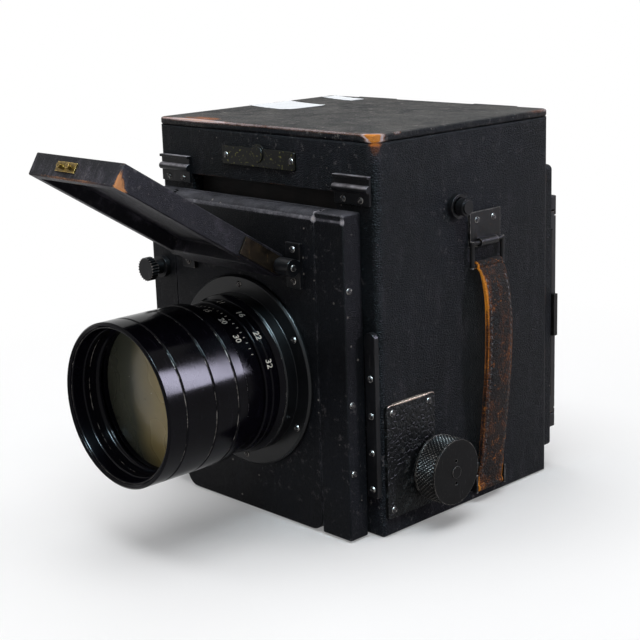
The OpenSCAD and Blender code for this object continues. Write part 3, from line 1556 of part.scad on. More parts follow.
body_shell();
tripod_bush();
name_plate();
front_clips();
guide_strips();
focus_plate();
case_screws();
strap_bracket();
strap_anchor();
hand_strap();
button_collar();
release_button();
hood_lid();
lid_leaves();
lid_hinges();
screen_frame();
ground_glass();
hood_leather();
mirror_frame();
mirror_glass();
mirror_lever();
roller_plates();
upper_roller();
lower_roller();
shutter_blind();
wind_knob();
speed_dial();
reversing_back();
holder_rails();
plate_holder();
dark_slide();
focus_shaft();
pinions();
focus_knob();
knob_milling();
racks();
rack_guides();
front_standard();
standard_screws();
bellows();
bellows_frame();
rising_panel();
rise_lock();
hinge_brackets();
panel_screws();
lens_flap();
flap_straps();
flap_catch();
lens_flange();
lens_tube();
iris_ring();
front_barrel();
front_glass();
rear_glass();
iris_leaf_1();
iris_leaf_2();
iris_leaf_3();
iris_leaf_4();
iris_leaf_5();
iris_leaf_6();
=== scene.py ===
import json
import math
import random

import bmesh
import bpy
from mathutils import Matrix, Vector


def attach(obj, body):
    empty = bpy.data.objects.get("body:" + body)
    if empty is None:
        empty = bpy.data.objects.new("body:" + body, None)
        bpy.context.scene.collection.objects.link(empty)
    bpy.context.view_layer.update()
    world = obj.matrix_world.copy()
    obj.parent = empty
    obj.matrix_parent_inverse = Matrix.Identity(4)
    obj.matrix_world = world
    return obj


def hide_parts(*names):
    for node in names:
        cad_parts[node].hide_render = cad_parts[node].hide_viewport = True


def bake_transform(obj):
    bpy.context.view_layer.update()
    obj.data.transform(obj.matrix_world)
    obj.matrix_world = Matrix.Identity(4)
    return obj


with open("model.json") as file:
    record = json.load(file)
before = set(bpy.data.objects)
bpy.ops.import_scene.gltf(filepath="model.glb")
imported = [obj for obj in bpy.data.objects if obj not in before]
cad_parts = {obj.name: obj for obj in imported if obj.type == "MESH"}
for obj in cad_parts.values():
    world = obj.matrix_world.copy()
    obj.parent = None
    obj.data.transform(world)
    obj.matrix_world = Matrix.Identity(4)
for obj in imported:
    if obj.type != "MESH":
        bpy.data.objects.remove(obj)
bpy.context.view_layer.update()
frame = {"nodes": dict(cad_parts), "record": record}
cadNodes = frame["nodes"]
record = frame["record"]
bodyOf = {node: body for body, members in record["behaviour"]["bodies"].items() for node in members}
slotOf = {row["node"]: row["material_slot"] for row in record["subparts"]}
mm = 0.001
scene = bpy.context.scene
scene.view_settings.view_transform = "Standard"
print("frame loaded:", len(cadNodes), "nodes")


# camera first, fitted to the photograph's edges
view = {
    "place": (553.58, -558.66, 286.57), "turn": 46.23, "lift": 14.12, "roll": -1.91, "lens": 80.58,
    "sensor": 36, "nearest": 0.02,
}


def addCamera(view):
    turn, lift, roll = (math.radians(view[key]) for key in ("turn", "lift", "roll"))
    back = Vector((math.sin(turn) * math.cos(lift), -math.cos(turn) * math.cos(lift), math.sin(lift)))
    right = Vector((0, 0, 1)).cross(back).normalized()
    up = back.cross(right)
    across = right * math.cos(roll) + up * math.sin(roll)
    upright = up * math.cos(roll) - right * math.sin(roll)
    data = bpy.data.cameras.new("photoView")
    data.lens = view["lens"]
    data.sensor_width = view["sensor"]
    data.clip_start = view["nearest"]
    camera = bpy.data.objects.new("photoView", data)
    scene.collection.objects.link(camera)
    turned = Matrix((across, upright, back)).transposed().to_4x4()
    camera.matrix_world = Matrix.Translation(Vector(view["place"]) * mm) @ turned
    scene.camera = camera


addCamera(view)


def hexColour(code):
    def linear(pair):
        value = int(pair, 16) / 255
        return value / 12.92 if value <= 0.04045 else ((value + 0.055) / 1.055) ** 2.4
    return (linear(code[1:3]), linear(code[3:5]), linear(code[5:7]), 1.0)


def adderFor(tree):  # the function that adds nodes to this tree
    def add(kind, inputs=None, out=0, **settings):  # one node with its settings and links; gives one output
        node = tree.nodes.new(kind if kind.startswith(("Geometry", "NodeGroup")) else "ShaderNode" + kind)
        for key, value in settings.items():
            setattr(node, key, value)
        for key, value in (inputs or {}).items():
            if isinstance(value, bpy.types.NodeSocket):
                tree.links.new(value, node.inputs[key])
            else:
                node.inputs[key].default_value = value
        return node.outputs[out] if node.outputs else None
    return add


def perMetre(size):  # scale of a texture whose pattern is that many millimetres wide
    return 1000 / size


finish = {}  # by material slot, or by node where one node differs from its slot


def makeFinishes(graph, common, kinds):  # each kind: its name and what differs from the common values
    for slot, (name, own) in kinds.items():
        material = bpy.data.materials.new(name)
        material.use_nodes = True
        material.node_tree.nodes.clear()
        add = adderFor(material.node_tree)
        surface = graph(add, add("TexCoord", out="Object"), {**common, **own})
        add("OutputMaterial", {"Surface": surface})
        finish[slot] = material


def layeredColour(add, ground, layers):  # each layer covers the ones before it where its mask is 1
    colour = hexColour(ground)
    for share, code in layers:
        colour = add("Mix", {0: share, 6: colour, 7: hexColour(code)}, out=2, data_type="RGBA")
    return colour


def patches(add, place, size, low, high, full=1.0, rough=0.65):  # broken patches of that many millimetres
    noise = add("TexNoise", {"Vector": place, "Scale": perMetre(size), "Detail": 6.0, "Roughness": rough})
    return add("MapRange", {0: noise, 1: low, 2: high, 4: full})


handledCore = 0.35  # share of a spot's half size that takes its full amount
# dust and painted sheen start and are full where a face looks up by so much
dustFall = {"patch": 16, "steep": 0.2, "flat": 0.65}
# steps of wear past a finish's edgeFrom: (starts, full)
firstWear, bareWear, splitWear = (0.0, 0.09), (0.07, 0.13), (0.3, 0.4)


def handledShare(add, place, spots):  # where hands rub most, and a painted highlight on the front boards' top edge: (centre, half sizes, how much), in millimetres
    total = 0.0
    for centre, reach, amount in spots:
        near = add("Mapping", {
            0: place, 1: Vector(centre) * mm, 3: Vector(reach) * mm}, vector_type="TEXTURE")
        away = add("VectorMath", {0: near}, out="Value", operation="LENGTH")
        here = add("MapRange", {0: away, 1: 1.0, 2: handledCore, 4: amount})
        total = add("Math", {0: total, 1: here}, operation="ADD")
    return total


def settledShare(add, place, amount):  # faces turned upwards: settled dust and rubbing cloths, and on some finishes a painted highlight of the light above
    upward = add("SeparateXYZ", {0: add("TexCoord", out="Normal")}, out=2)
    flat = add("MapRange", {0: upward, 1: dustFall["steep"], 2: dustFall["flat"], 4: amount})
    broken = patches(add, place, dustFall["patch"], 0.3, 0.6)
    return add("Math", {0: flat, 1: broken}, operation="MULTIPLY")


def rubbedEdges(add, place, look, handling=0.0, steps=(firstWear,)):
    # rays sent inwards meet the next face near an edge, and broad noise lets the wear come and go
    inward = add("AmbientOcclusion", {"Distance": look["edgeReach"] * mm}, out="AO",
        samples=8, inside=True, only_local=True)
    lifted = add("Math", {0: handling, 1: 0.5, 2: 1.0}, operation="MULTIPLY_ADD")
    nearEdge = add("Math", {0: lifted, 1: inward}, operation="SUBTRACT")
    noise = add("TexNoise", {
        "Vector": place, "Scale": perMetre(look["edgePatch"]), "Detail": 6.0, "Roughness": 0.72})
    luck = add("Math", {0: noise, 1: handling}, operation="ADD")
    rubbed = add("Math", {0: nearEdge, 1: luck}, operation="MULTIPLY")
    start = look["edgeFrom"]
    return [add("MapRange", {0: rubbed, 1: start + low, 2: start + high}) for low, high in steps]


def specks(add, place, gap, dot, rare):  # dots a gap apart: their (outer, full) size and how rare they are
    cells = add("TexVoronoi", {"Vector": place, "Scale": perMetre(gap)}).node.outputs
    isDot = add("MapRange", {0: cells["Distance"], 1: dot[0], 2: dot[1]})
    chosen = add("MapRange", {0: add("SeparateColor", {0: cells["Color"]}), 1: rare, 2: 0.9})
    return add("Math", {0: isDot, 1: chosen}, operation="MULTIPLY")


# one graph for hide glued over wood: pebbled grain with painted shade in its creases, dust and, on some
# skins, a painted sheen on top faces, scuffs and rubbed edges
def coverFinish(add, place, look):
    handling = handledShare(add, place, look["handled"])
    clouds = add("TexNoise", {"Vector": place, "Scale": perMetre(look["cloudSize"]), "Detail": 5.0})
    tone = add("MapRange", {0: clouds, 1: look["toneFrom"], 2: look["toneFull"]})
    bend = add("TexNoise", {"Vector": place, "Scale": perMetre(look["grainSize"] * 4)}, out="Color")
    bent = add("Mix", {0: look["grainBend"], 4: place, 5: bend}, out=1, data_type="VECTOR")
    cells = add("TexVoronoi", {"Vector": bent, "Scale": perMetre(look["grainSize"])},
        out="Distance", feature="DISTANCE_TO_EDGE")
    pebbles = add("MapRange", {0: cells, 2: 0.28})
    fine = add("TexNoise", {"Vector": place, "Scale": perMetre(look["grainSize"] * 0.45)})
    grain = add("Math", {0: pebbles, 1: fine}, operation="ADD")
    # painted shade: the creases between the pebbles are darkened in the colour
    creases = add("MapRange", {0: pebbles, 1: 0.35, 2: 0.0, 4: look["creaseDark"]})
    tops = add("MapRange", {0: grain, 1: 0.7, 2: 1.5, 3: 0.25})

    # long faint rubs that run the way hands slide, and short scuffs that gather in clouds
    stretched = add("Mapping", {0: place, 2: look["rubTurn"], 3: look["rubScale"]})
    streaks = add("TexNoise", {
        "Vector": stretched, "Scale": perMetre(look["rubSize"]), "Detail": 6.0, "Roughness": 0.7})
    slid = add("Math", {0: handling, 1: 0.4, 2: streaks}, operation="MULTIPLY_ADD")
    rubFull = look["rubFrom"] + look["rubSoft"]
    rubs = add("MapRange", {0: slid, 1: look["rubFrom"], 2: rubFull, 4: look["rubShare"]})
    rubs = add("Math", {0: rubs, 1: tops}, operation="MULTIPLY")
    scuffFull = look["scuffFrom"] + look["scuffSoft"]
    scuffs = patches(add, bent, look["scuffSize"], look["scuffFrom"], scuffFull, look["scuffShare"], 0.8)
    gathered = add("MapRange", {0: clouds, 1: 0.44, 2: 0.58, 3: 0.15})
    scuffs = add("Math", {0: scuffs, 1: gathered}, operation="MULTIPLY")

    # specks of dust and chipped finish
    dot = (look["speckSize"], look["speckSize"] * 0.5)
    chips = specks(add, bent, look["speckGap"], dot, look["speckRare"])
    worn, bare, split = rubbedEdges(add, place, look, handling, (firstWear, bareWear, splitWear))
    # settled dust on upward faces; on the lid and the front boards it is also a painted sheen of the light
    # above
    dust = settledShare(add, place, look["dustShare"])
    colour = layeredColour(add, look["base"], [
        (tone, look["tint"]), (creases, "#050505"), (dust, look["dust"]), (rubs, look["rub"]),
        (scuffs, look["scuff"]), (chips, look["speck"]), (worn, look["worn"]), (bare, look["bare"]),
        (split, look["split"])])

    gloss = add("MapRange", {0: clouds, 1: 0.35, 2: 0.7, 3: look["roughLow"], 4: look["roughHigh"]})
    dull = add("MapRange", {0: pebbles, 3: 0.12, 4: 0.0})
    roughness = add("Math", {0: gloss, 1: dull}, operation="ADD")
    dents = add("TexNoise", {"Vector": place, "Scale": perMetre(look["dentSize"]), "Detail": 3.0})
    relief = add("Bump", {"Distance": look["dentDepth"] * mm, "Height": dents})
    relief = add("Bump", {
        "Strength": look["grainBump"], "Distance": look["grainDepth"] * mm, "Height": grain,
        "Normal": relief})
    return add("BsdfPrincipled", {
        "Base Color": colour, "Roughness": roughness, "Normal": relief,
        "Specular IOR Level": look["specular"]})


hide = {
    "base": "#07080b", "tint": "#0f0f15", "cloudSize": 60, "toneFrom": 0.4, "toneFull": 0.64,
    "grainSize": 1.1, "grainDepth": 0.26, "grainBump": 1.0, "grainBend": 0.0012, "creaseDark": 0.6,
    "dentSize": 26, "dentDepth": 1.0, "rub": "#37343a", "rubTurn": (0, 0, 0), "rubScale": (1, 1, 0.25),
    "rubSize": 7, "rubFrom": 0.53, "rubSoft": 0.14, "rubShare": 0.6, "scuff": "#6c6869", "scuffSize": 4,
    "scuffFrom": 0.58, "scuffSoft": 0.06, "scuffShare": 0.55, "speckGap": 4.6, "speckSize": 0.1,
    "speckRare": 0.62, "speck": "#77706c", "edgeReach": 2.0, "edgePatch": 14, "edgeFrom": 0.25,
    "worn": "#3b2418", "bare": "#b0652a", "split": "#c27a30", "roughLow": 0.4, "roughHigh": 0.58,
    "specular": 0.055, "dust": "#1d1d1f", "dustShare": 0.4,
    "handled": [
        ((83, -68, 200), (8, 8, 11), 0.5), ((83, -68, 160), (4, 4, 44), 0.1),
        ((83, 68, 200), (6, 16, 6), 0.2)],
}
covers = {
    # grained goatskin over mahogany: fine pebbles with a low sheen, brown where the black has rubbed off
    "case_leather": ("blackGoatskinOverMahogany", {}),
    # thinner, smoother skin on the front boards: blue-black, finely scratched; the grey along its rubbed top
    # edge and its pale top faces are wear and also a painted highlight of the light above
    "front_leather": ("smoothBlackCalfskin", dict(
        base="#060609", tint="#0b0c11", specular=0.06, grainSize=0.8, grainBump=0.45, creaseDark=0.35,
        dentDepth=0.5, rub="#2b2c33", rubScale=(1, 1, 0.1), rubSize=4, rubFrom=0.57, rubShare=0.45,
        scuffShare=0.3, speckGap=7, speck="#85807b", edgeFrom=0.24, worn="#5a595f", bare="#9a989e",
        # painted highlight: the pale top faces and the first grey spot along the top edge stand in for the
        # light above as well as for dust and wear
        split="#b3aeac", roughLow=0.34, roughHigh=0.5, dust="#4a4a50", dustShare=0.9, handled=[
            ((0, -83.2, 164.2), (230, 3, 2.4), 0.56), ((64, -83, 168), (26, 5, 3), 0.2)])),
    # skin of the lid, greyed on top by dust and by a painted sheen of the light above, and rubbed pale and
    # brown along its front edge
    "lid_leather": ("greyedGoatskinOverMahogany", dict(
        dust="#3a3937", dustShare=1.0, rub="#55514f", rubTurn=(0, 0, 0.5), rubScale=(0.2, 1, 1),
        rubFrom=0.5, rubShare=0.5, scuff="#85807c", scuffFrom=0.57, scuffShare=0.5, edgeReach=1.0,
        edgePatch=9, edgeFrom=0.2, worn="#96541f", bare="#c6bcc1", split="#cf8433", speckGap=4.2,
        speck="#9a948f", handled=[
            ((-52, -61, 205.4), (38, 13, 3), 0.5), ((0, -68.2, 205.2), (260, 3.4, 2.6), 0.45),
            ((83, -68, 204), (10, 10, 9), 0.95), ((83, 62, 205), (6, 22, 5), 0.4),
            ((83, -52, 205), (4, 5, 3), 0.4)])),
    # the flap's skin is satin and slightly violet where it catches the light
    "flap_leather": ("satinBlackCalfskin", dict(
        base="#100f14", tint="#1a181f", grainSize=0.75, grainBump=0.4, creaseDark=0.3, rub="#5d5963",
        rubScale=(1, 0.3, 0.3), rubSize=5, edgeReach=1.6, edgePatch=8, edgeFrom=0.24, worn="#5f3d29",
        bare="#c98a55", split="#c98a55", roughLow=0.34, roughHigh=0.5, dentDepth=0.5, specular=0.09,
        dustShare=0.3, handled=[
            ((35, -182, 192), (4, 5, 9), 0.6), ((0, -184, 195), (44, 5, 12), 0.3)])),
    # dry blackened bridle leather, cracked brown over its face and orange where the front edge has split
    "strap_leather": ("crackedBridleLeather", dict(
        base="#130e0c", tint="#2a1f19", cloudSize=14, grainSize=1.5, grainDepth=0.45, creaseDark=0.5,
        rub="#7a451f", rubScale=(1, 0.8, 0.5), rubSize=4, rubFrom=0.52, rubShare=0.8, scuff="#b06722",
        scuffShare=0.9, speckGap=3.4, speckSize=0.13, speck="#a06a3c", edgeReach=1.1, edgePatch=5,
        edgeFrom=0.24, worn="#6b3a1a", bare="#cf7f1f", split="#d98a24", roughHigh=0.62, dustShare=0.2,
        handled=[
            ((90, 0, 118), (14, 9, 22), 0.75), ((92, 0, 90), (12, 5, 26), 0.5),
            ((94, 23, 80), (7, 8, 26), 0.4), ((90, 2, 50), (10, 3.5, 44), 0.25),
            ((88, 3, 9), (8, 9, 8), 0.55), ((90, 21, 14), (8, 4, 12), 0.4)])),
    # thin dull skiver on folding parts, paler along the ridges where it flexes
    "hood_leather": ("blackSkiver", dict(
        base="#0f0e10", tint="#181618", grainSize=0.7, grainBump=0.5, dentSize=18, dentDepth=0.6,
        rub="#2c2829", rubShare=0.35, scuffShare=0.2, edgeReach=0.3, edgeFrom=0.3, handled=[],
        worn="#221e1d", bare="#40362f", split="#40362f", roughLow=0.55, roughHigh=0.72, speckGap=8)),
}
makeFinishes(coverFinish, hide, covers)
finish["bellows_leather"] = finish["hood_leather"]
print("covers made")


# metal that carries a coat: the coat's colour and gloss, its scratches, and the bright metal along its edges
def coatedMetal(add, place, look):
    clouds = add("TexNoise", {
        "Vector": place, "Scale": perMetre(look["cloudSize"]), "Detail": 6.0, "Roughness": 0.65})
    tone = add("MapRange", {0: clouds, 1: 0.36, 2: 0.68})
    drawn = add("Mapping", {0: place, 3: look["brushScale"]})
    brushed = add("TexNoise", {
        "Vector": drawn, "Scale": perMetre(look["brushSize"]), "Detail": 5.0, "Roughness": 0.75})
    scratches = add("MapRange", {0: brushed, 1: 0.6, 2: 0.68, 4: look["scratchShare"]})
    grit = add("TexNoise", {"Vector": place, "Scale": perMetre(look["gritSize"]), "Detail": 4.0})
    pits = add("MapRange", {0: grit, 1: 0.6, 2: 0.7, 4: look["pitShare"]})
    [worn] = rubbedEdges(add, place, look)
    # on upward faces: bare metal from wear, and on the clips a painted highlight of the light above
    if look["topWear"]:
        worn = add("Math", {0: worn, 1: settledShare(add, place, look["topWear"])}, operation="MAXIMUM")
    if look["wornRings"]:  # turned lines on the lens whose lacquer has chipped all round
        forward = add("SeparateXYZ", {0: place}, out=1)
        chips = patches(add, place, look["ringPatch"], 0.47, 0.6, 0.8)
        for line in look["wornRings"]:
            onLine = add("Math", {0: forward, 1: line * mm, 2: look["ringReach"] * mm}, operation="COMPARE")
            chipped = add("Math", {0: onLine, 1: chips}, operation="MULTIPLY")
            worn = add("Math", {0: worn, 1: chipped}, operation="MAXIMUM")
    colour = layeredColour(add, look["base"], [
        (tone, look["tint"]), (scratches, look["scratch"]), (pits, look["pit"]), (worn, look["metal"])])
    gloss = add("MapRange", {0: clouds, 1: 0.35, 2: 0.7, 3: look["roughLow"], 4: look["roughHigh"]})
    roughness = add("Mix", {0: worn, 2: gloss, 3: look["wornRough"]})
    bareMetallic = max(look["metallic"], look["wornMetallic"])
    metallic = add("MapRange", {0: worn, 3: look["metallic"], 4: bareMetallic})
    relief = add("Bump", {"Strength": look["brushBump"], "Distance": 0.03 * mm, "Height": brushed})
    relief = add("Bump", {
        "Strength": look["gritBump"], "Distance": look["gritDepth"] * mm, "Height": grit, "Normal": relief})
    return add("BsdfPrincipled", {
        "Base Color": colour, "Roughness": roughness, "Metallic": metallic, "Normal": relief,
        "Specular IOR Level": look["specular"]})


coat = {
    "base": "#0b0b0d", "tint": "#141417", "cloudSize": 22, "brushScale": (1, 1, 0.15), "brushSize": 1.6,
    "scratch": "#4a484a", "scratchShare": 0.3, "gritSize": 1.2, "pit": "#2a2522", "pitShare": 0.5,
    "edgeReach": 0.9, "edgePatch": 5, "edgeFrom": 0.24, "metal": "#7d7672", "roughLow": 0.3,
    "roughHigh": 0.45, "metallic": 0.0, "brushBump": 0.25, "gritBump": 0.4, "gritDepth": 0.1,
    "specular": 0.12, "wornRings": (), "topWear": 0.0, "ringPatch": 7, "ringReach": 0.22,
    "wornRough": 0.38, "wornMetallic": 0.45,
}
metals = {
    # stoved black enamel on brass fittings: satin, its edges polished to a dull gleam
    "black_metal": ("blackEnamelOnBrass", {}),
    # the clips' enamel has rubbed off along the lip and the bead, and their upward faces carry a painted
    # highlight of the light above; both show as pale lines
    "front_clips": ("rubbedEnamelOnBrass", dict(edgeReach=0.5, metal="#a8a4aa", topWear=1.0)),
    # polished lacquer of the lens mount: violet black with a mirror band, pale chips along its turned lines
    "lens_lacquer": ("glossBlackLensLacquer", dict(
        base="#040307", tint="#08070d", cloudSize=40, brushScale=(0.2, 1, 0.2), brushSize=3,
        scratch="#35323c", scratchShare=0.12, pit="#141218", pitShare=0.25, edgeReach=0.4, edgePatch=6,
        edgeFrom=0.29, metal="#86817c", roughLow=0.13, roughHigh=0.2, gritBump=0.06, brushBump=0.08,
        specular=0.06, wornRings=(-118.4, -125.0, -139.0, -157.2))),
    # the flange and collar keep a satin lacquer, never wiped as often as the barrel
    "lens_flange": ("satinBlackLensLacquer", dict(
        base="#060608", tint="#0c0c0e", cloudSize=30, scratchShare=0.1, pit="#1a1a1d", pitShare=0.3,
        edgeReach=0.4, edgePatch=6, edgeFrom=0.31, metal="#6f6b68", roughLow=0.28, roughHigh=0.36,
        gritBump=0.1, specular=0.2)),
    # brass under thin black lacquer, warm where fingers have cut through
    "lacquered_brass": ("blackenedBrass", dict(
        base="#17130f", tint="#2c2216", cloudSize=7, metal="#b98d4a", edgeReach=0.3, metallic=0.5,
        scratch="#96763f", pitShare=0.6, roughLow=0.32, roughHigh=0.5)),
    # the catch's studs are polished by use, dull yellow with dark in their corners
    "flap_catch": ("handledBrass", dict(
        base="#4b3d1e", tint="#6f5a2c", cloudSize=3, metal="#d9b871", edgeReach=0.5, edgeFrom=0.16,
        metallic=0.8, pit="#17120a", scratch="#9c8144")),
    # unlacquered brass of the racks: yellow, dulled by old grease
    "raw_brass": ("greasyCutBrass", dict(
        base="#8c6c34", tint="#6d5228", metal="#caa258", metallic=1.0, pit="#2d2414", scratch="#d0b070",
        roughLow=0.32, roughHigh=0.48, edgeFrom=0.18)),
    # oxidised brass plate, left bare: olive black with small worn lights
    "plate_metal": ("oxidisedBrassPlate", dict(
        base="#040403", tint="#0a0a06", cloudSize=5, metal="#5b5640", metallic=0.1, scratch="#2d2b1c",
        pit="#75723c", pitShare=0.8, gritSize=1.5, gritBump=0.7)),
    # blued steel screws, their slots and rims rubbed bright
    "screw_metal": ("rubbedSteelScrews", dict(
        base="#1d1c1d", tint="#343133", metallic=0.5, metal="#a5a09a", edgeFrom=0.17, edgeReach=0.4,
        edgePatch=2, scratch="#8f8a86", pit="#2a1c12", pitShare=0.7, roughLow=0.4, roughHigh=0.52)),
    # bare iron wire and plate gone dull grey, rust in the pits
    "loop_metal": ("dullIronWire", dict(
        base="#101011", tint="#1d1c1d", metallic=0.2, metal="#8f8b88", pit="#33200f", pitShare=0.6,
        edgeFrom=0.2, roughLow=0.32, roughHigh=0.48)),
    # pressed button, blackened with a pale rim
    "button_metal": ("blackenedSteelButton", dict(
        base="#0e0e0f", tint="#19181a", metallic=0.2, metal="#6d6966", edgeFrom=0.27)),
    # nickel plate clouded and half blackened by handling
    "nickel": ("cloudedNickelPlate", dict(
        base="#6b6760", tint="#4b4742", metallic=1.0, metal="#c3bdb2", pit="#3a2c1a", pitShare=0.6,
        scratch="#a8a298", roughLow=0.26, roughHigh=0.44)),
    # black milled knob, grey on the points of its diamonds
    "knob_black": ("blackMilledKnob", dict(
        base="#080808", tint="#100f10", metal="#86817c", edgeReach=0.6, edgePatch=4, edgeFrom=0.13,
        roughHigh=0.44, gritBump=0.3, specular=0.06)),
    # sprung steel leaves, blue-black and oily
    "leaf_steel": ("bluedLeafSteel", dict(
        base="#1a1c24", tint="#262a36", metallic=0.8, metal="#6c7078", roughHigh=0.4)),
    # mirror silvered on its face
    "silvered_glass": ("silveredGlass", dict(
        base="#c9ccca", tint="#b9bcb8", metallic=1.0, metal="#d8dad8", pit="#8a8476", pitShare=0.25,
        scratch="#e2e4e2", scratchShare=0.1, roughLow=0.03, roughHigh=0.08, gritBump=0.02, brushBump=0.02)),
    # vulcanised rubber sheet, brownish black and faintly ribbed by its rollers
    "dark_slide": ("vulcanisedRubberSheet", dict(
        base="#0e0c0a", tint="#171310", metal="#2e2823", edgeReach=0.3, roughLow=0.34, roughHigh=0.5)),
}
makeFinishes(coatedMetal, coat, metals)


# crackle paint: flat islands with open cracks, dried over a metal plate
def cracklePaint(add, place, look):
    bend = add("TexNoise", {"Vector": place, "Scale": perMetre(look["bendSize"]), "Detail": 3.0}, out="Color")
    bent = add("Mix", {0: look["bend"], 4: place, 5: bend}, out=1, data_type="VECTOR")
    cracks = add("TexVoronoi", {"Vector": bent, "Scale": perMetre(look["island"])},
        out="Distance", feature="DISTANCE_TO_EDGE")
    islands = add("MapRange", {0: cracks, 1: 0.02, 2: 0.22})
    chipped = patches(add, place, look["blot"], 0.58, 0.63, rough=0.75)
    handling = handledShare(add, place, look["handled"])
    [worn] = rubbedEdges(add, place, look, handling)
    metallic = add("MapRange", {0: worn, 4: look["wornMetallic"]})
    colour = layeredColour(add, look["crack"], [
        (islands, look["paint"]), (chipped, look["chip"]), (worn, look["metal"])])
    height = add("Math", {0: islands, 1: chipped}, operation="SUBTRACT")
    relief = add("Bump", {"Distance": look["depth"] * mm, "Height": height})
    roughness = add("MapRange", {0: chipped, 3: look["roughPaint"], 4: look["roughChip"]})
    return add("BsdfPrincipled", {
        "Base Color": colour, "Roughness": roughness, "Metallic": metallic, "Normal": relief,
        "Specular IOR Level": look["specular"]})


paints = {
    # crackle enamel of the focusing plate: glossy black islands, tan metal along the top edge
    "crackle_metal": ("blackCrackleEnamel", {
        "island": 2.6, "blot": 4, "depth": 0.22, "crack": "#020202", "paint": "#09090a",
        "chip": "#2c2926", "metal": "#a59384", "specular": 0.1, "edgeReach": 1.0, "edgePatch": 9,
        "edgeFrom": 0.3, "bendSize": 5, "bend": 0.003, "roughPaint": 0.42, "roughChip": 0.6,
        "wornMetallic": 0.8, "handled": [((85, -48, 70), (4, 26, 2.5), 0.5)]}),
}
makeFinishes(cracklePaint, {}, paints)


# timber: fibres and growth rings along one direction, paler on rubbed corners
def grainedWood(add, place, look):
    along = add("Mapping", {0: place, 3: look["along"]})
    fibres = add("TexNoise", {
        "Vector": along, "Scale": perMetre(look["fibre"]), "Detail": 8.0, "Roughness": 0.7,
        "Distortion": 0.6})
    rings = add("TexWave", {
        "Vector": along, "Scale": perMetre(look["ring"]), "Distortion": 5.0, "Detail": 3.0,
        "Detail Scale": 1.4}, out="Fac")
    tone = add("MapRange", {0: rings, 1: 0.2, 2: 0.8})
    pores = add("MapRange", {0: fibres, 1: 0.55, 2: 0.72, 4: 0.6})
    [worn] = rubbedEdges(add, place, look, steps=((0.0, 0.12),))
    colour = layeredColour(add, look["base"], [
        (tone, look["tint"]), (pores, look["pore"]), (worn, look["worn"])])
    roughness = add("MapRange", {0: fibres, 1: 0.3, 2: 0.7, 3: look["roughLow"], 4: look["roughLow"] + 0.2})
    relief = add("Bump", {"Strength": 0.5, "Distance": 0.08 * mm, "Height": fibres})
    return add("BsdfPrincipled", {
        "Base Color": colour, "Roughness": roughness, "Normal": relief,
        "Specular IOR Level": look["specular"]})


wood = {
    "along": (0.12, 1, 1), "fibre": 1.1, "ring": 9, "base": "#3a1f12", "tint": "#52301b",
    "pore": "#170b06", "worn": "#7b4a2a", "roughLow": 0.38, "specular": 0.35, "edgeReach": 1.6,
    "edgePatch": 10, "edgeFrom": 0.2,
}
woods = {
    # French-polished mahogany inside the well: red brown with dark pores
    "dark_wood": ("polishedMahogany", {}),
    # the same timber stained black inside the light-tight parts
    "dark_wood_black": ("ebonisedMahogany", dict(
        base="#100e0d", tint="#181413", pore="#070606", worn="#3a281c", roughLow=0.48, specular=0.12)),
    # walnut of the plate holder, stained nearly black
    "holder_wood": ("blackenedWalnut", dict(
        base="#13100d", tint="#18130f", pore="#070504", worn="#4a3524", roughLow=0.42, specular=0.16,
        ring=26)),
    # turned beech rollers, pale and dry
    "roller_wood": ("turnedBeech", dict(
        base="#8c6a44", tint="#a17d54", pore="#5c4228", worn="#c09a68", roughLow=0.5)),
}
makeFinishes(grainedWood, wood, woods)


def lensGlassFinish(add, place, look):
    across = add("SeparateXYZ", {0: place})
    clouds = add("TexNoise", {"Vector": place, "Scale": perMetre(30), "Detail": 1.0})
    # painted light: the glass is painted paler and warmer towards its +X side
    side = add("Math", {0: clouds, 1: 0.02, 2: across}, operation="MULTIPLY_ADD")
    warmth = add("MapRange", {0: side, 1: -0.004, 2: 0.036})
    dust = specks(add, place, look["dustGap"], (0.055, 0.03), 0.7)
    colour = layeredColour(add, look["haze"], [(warmth, look["warm"]), (dust, "#b9b3a6")])
    roughness = add("MapRange", {0: clouds, 1: 0.3, 2: 0.7, 3: look["roughLow"], 4: look["roughHigh"]})
    clear = add("MapRange", {0: dust, 3: look["clear"], 4: 0.1})
    return add("BsdfPrincipled", {
        "Base Color": colour, "Roughness": roughness, "Transmission Weight": clear, "IOR": look["ior"],
        "Specular IOR Level": 0.3})


glasses = {
    # old crown glass with hazed balsam and dust on its face: grey to the left, and a painted glow of olive
    # yellow towards the right
    "lens_glass": ("hazedCrownGlass", {
        "haze": "#3d3e35", "warm": "#94804a", "dustGap": 6, "roughLow": 0.2, "roughHigh": 0.32,
        "clear": 0.1, "ior": 1.52}),
    # ground on one side, it glows evenly where light falls on it
    "screen_glass": ("groundGlass", {
        "haze": "#b8beb8", "warm": "#c0c4ba", "dustGap": 9, "roughLow": 0.45, "roughHigh": 0.6,
        "clear": 0.6, "ior": 1.5}),
}
makeFinishes(lensGlassFinish, {}, glasses)


# woven threads crossing in two directions, with cloudy colour
def wovenFinish(add, place, look):
    strands = [add("TexWave", {
        "Vector": place, "Scale": perMetre(look["thread"]) * 0.16, "Distortion": 0.6, "Detail": 1.0},
        out="Fac", bands_direction=axis) for axis in look["axes"]]
    weave = add("Math", {0: strands[0], 1: strands[1]}, operation="MAXIMUM")
    clouds = add("TexNoise", {"Vector": place, "Scale": perMetre(look["cloudSize"]), "Detail": 5.0})
    tone = add("MapRange", {0: clouds, 1: 0.35, 2: 0.7})
    gaps = add("MapRange", {0: weave, 1: 0.9, 2: 0.4, 4: 0.45})
    colour = layeredColour(add, look["base"], [(tone, look["tint"]), (gaps, look["gap"])])
    roughness = add("MapRange", {0: clouds, 1: 0.3, 2: 0.7, 3: look["roughLow"], 4: look["roughLow"] + 0.15})
    relief = add("Bump", {"Strength": look["bump"], "Distance": 0.08 * mm, "Height": weave})
    return add("BsdfPrincipled", {
        "Base Color": colour, "Roughness": roughness, "Normal": relief, "Specular IOR Level": 0.3,
        "Sheen Weight": look["sheen"]})


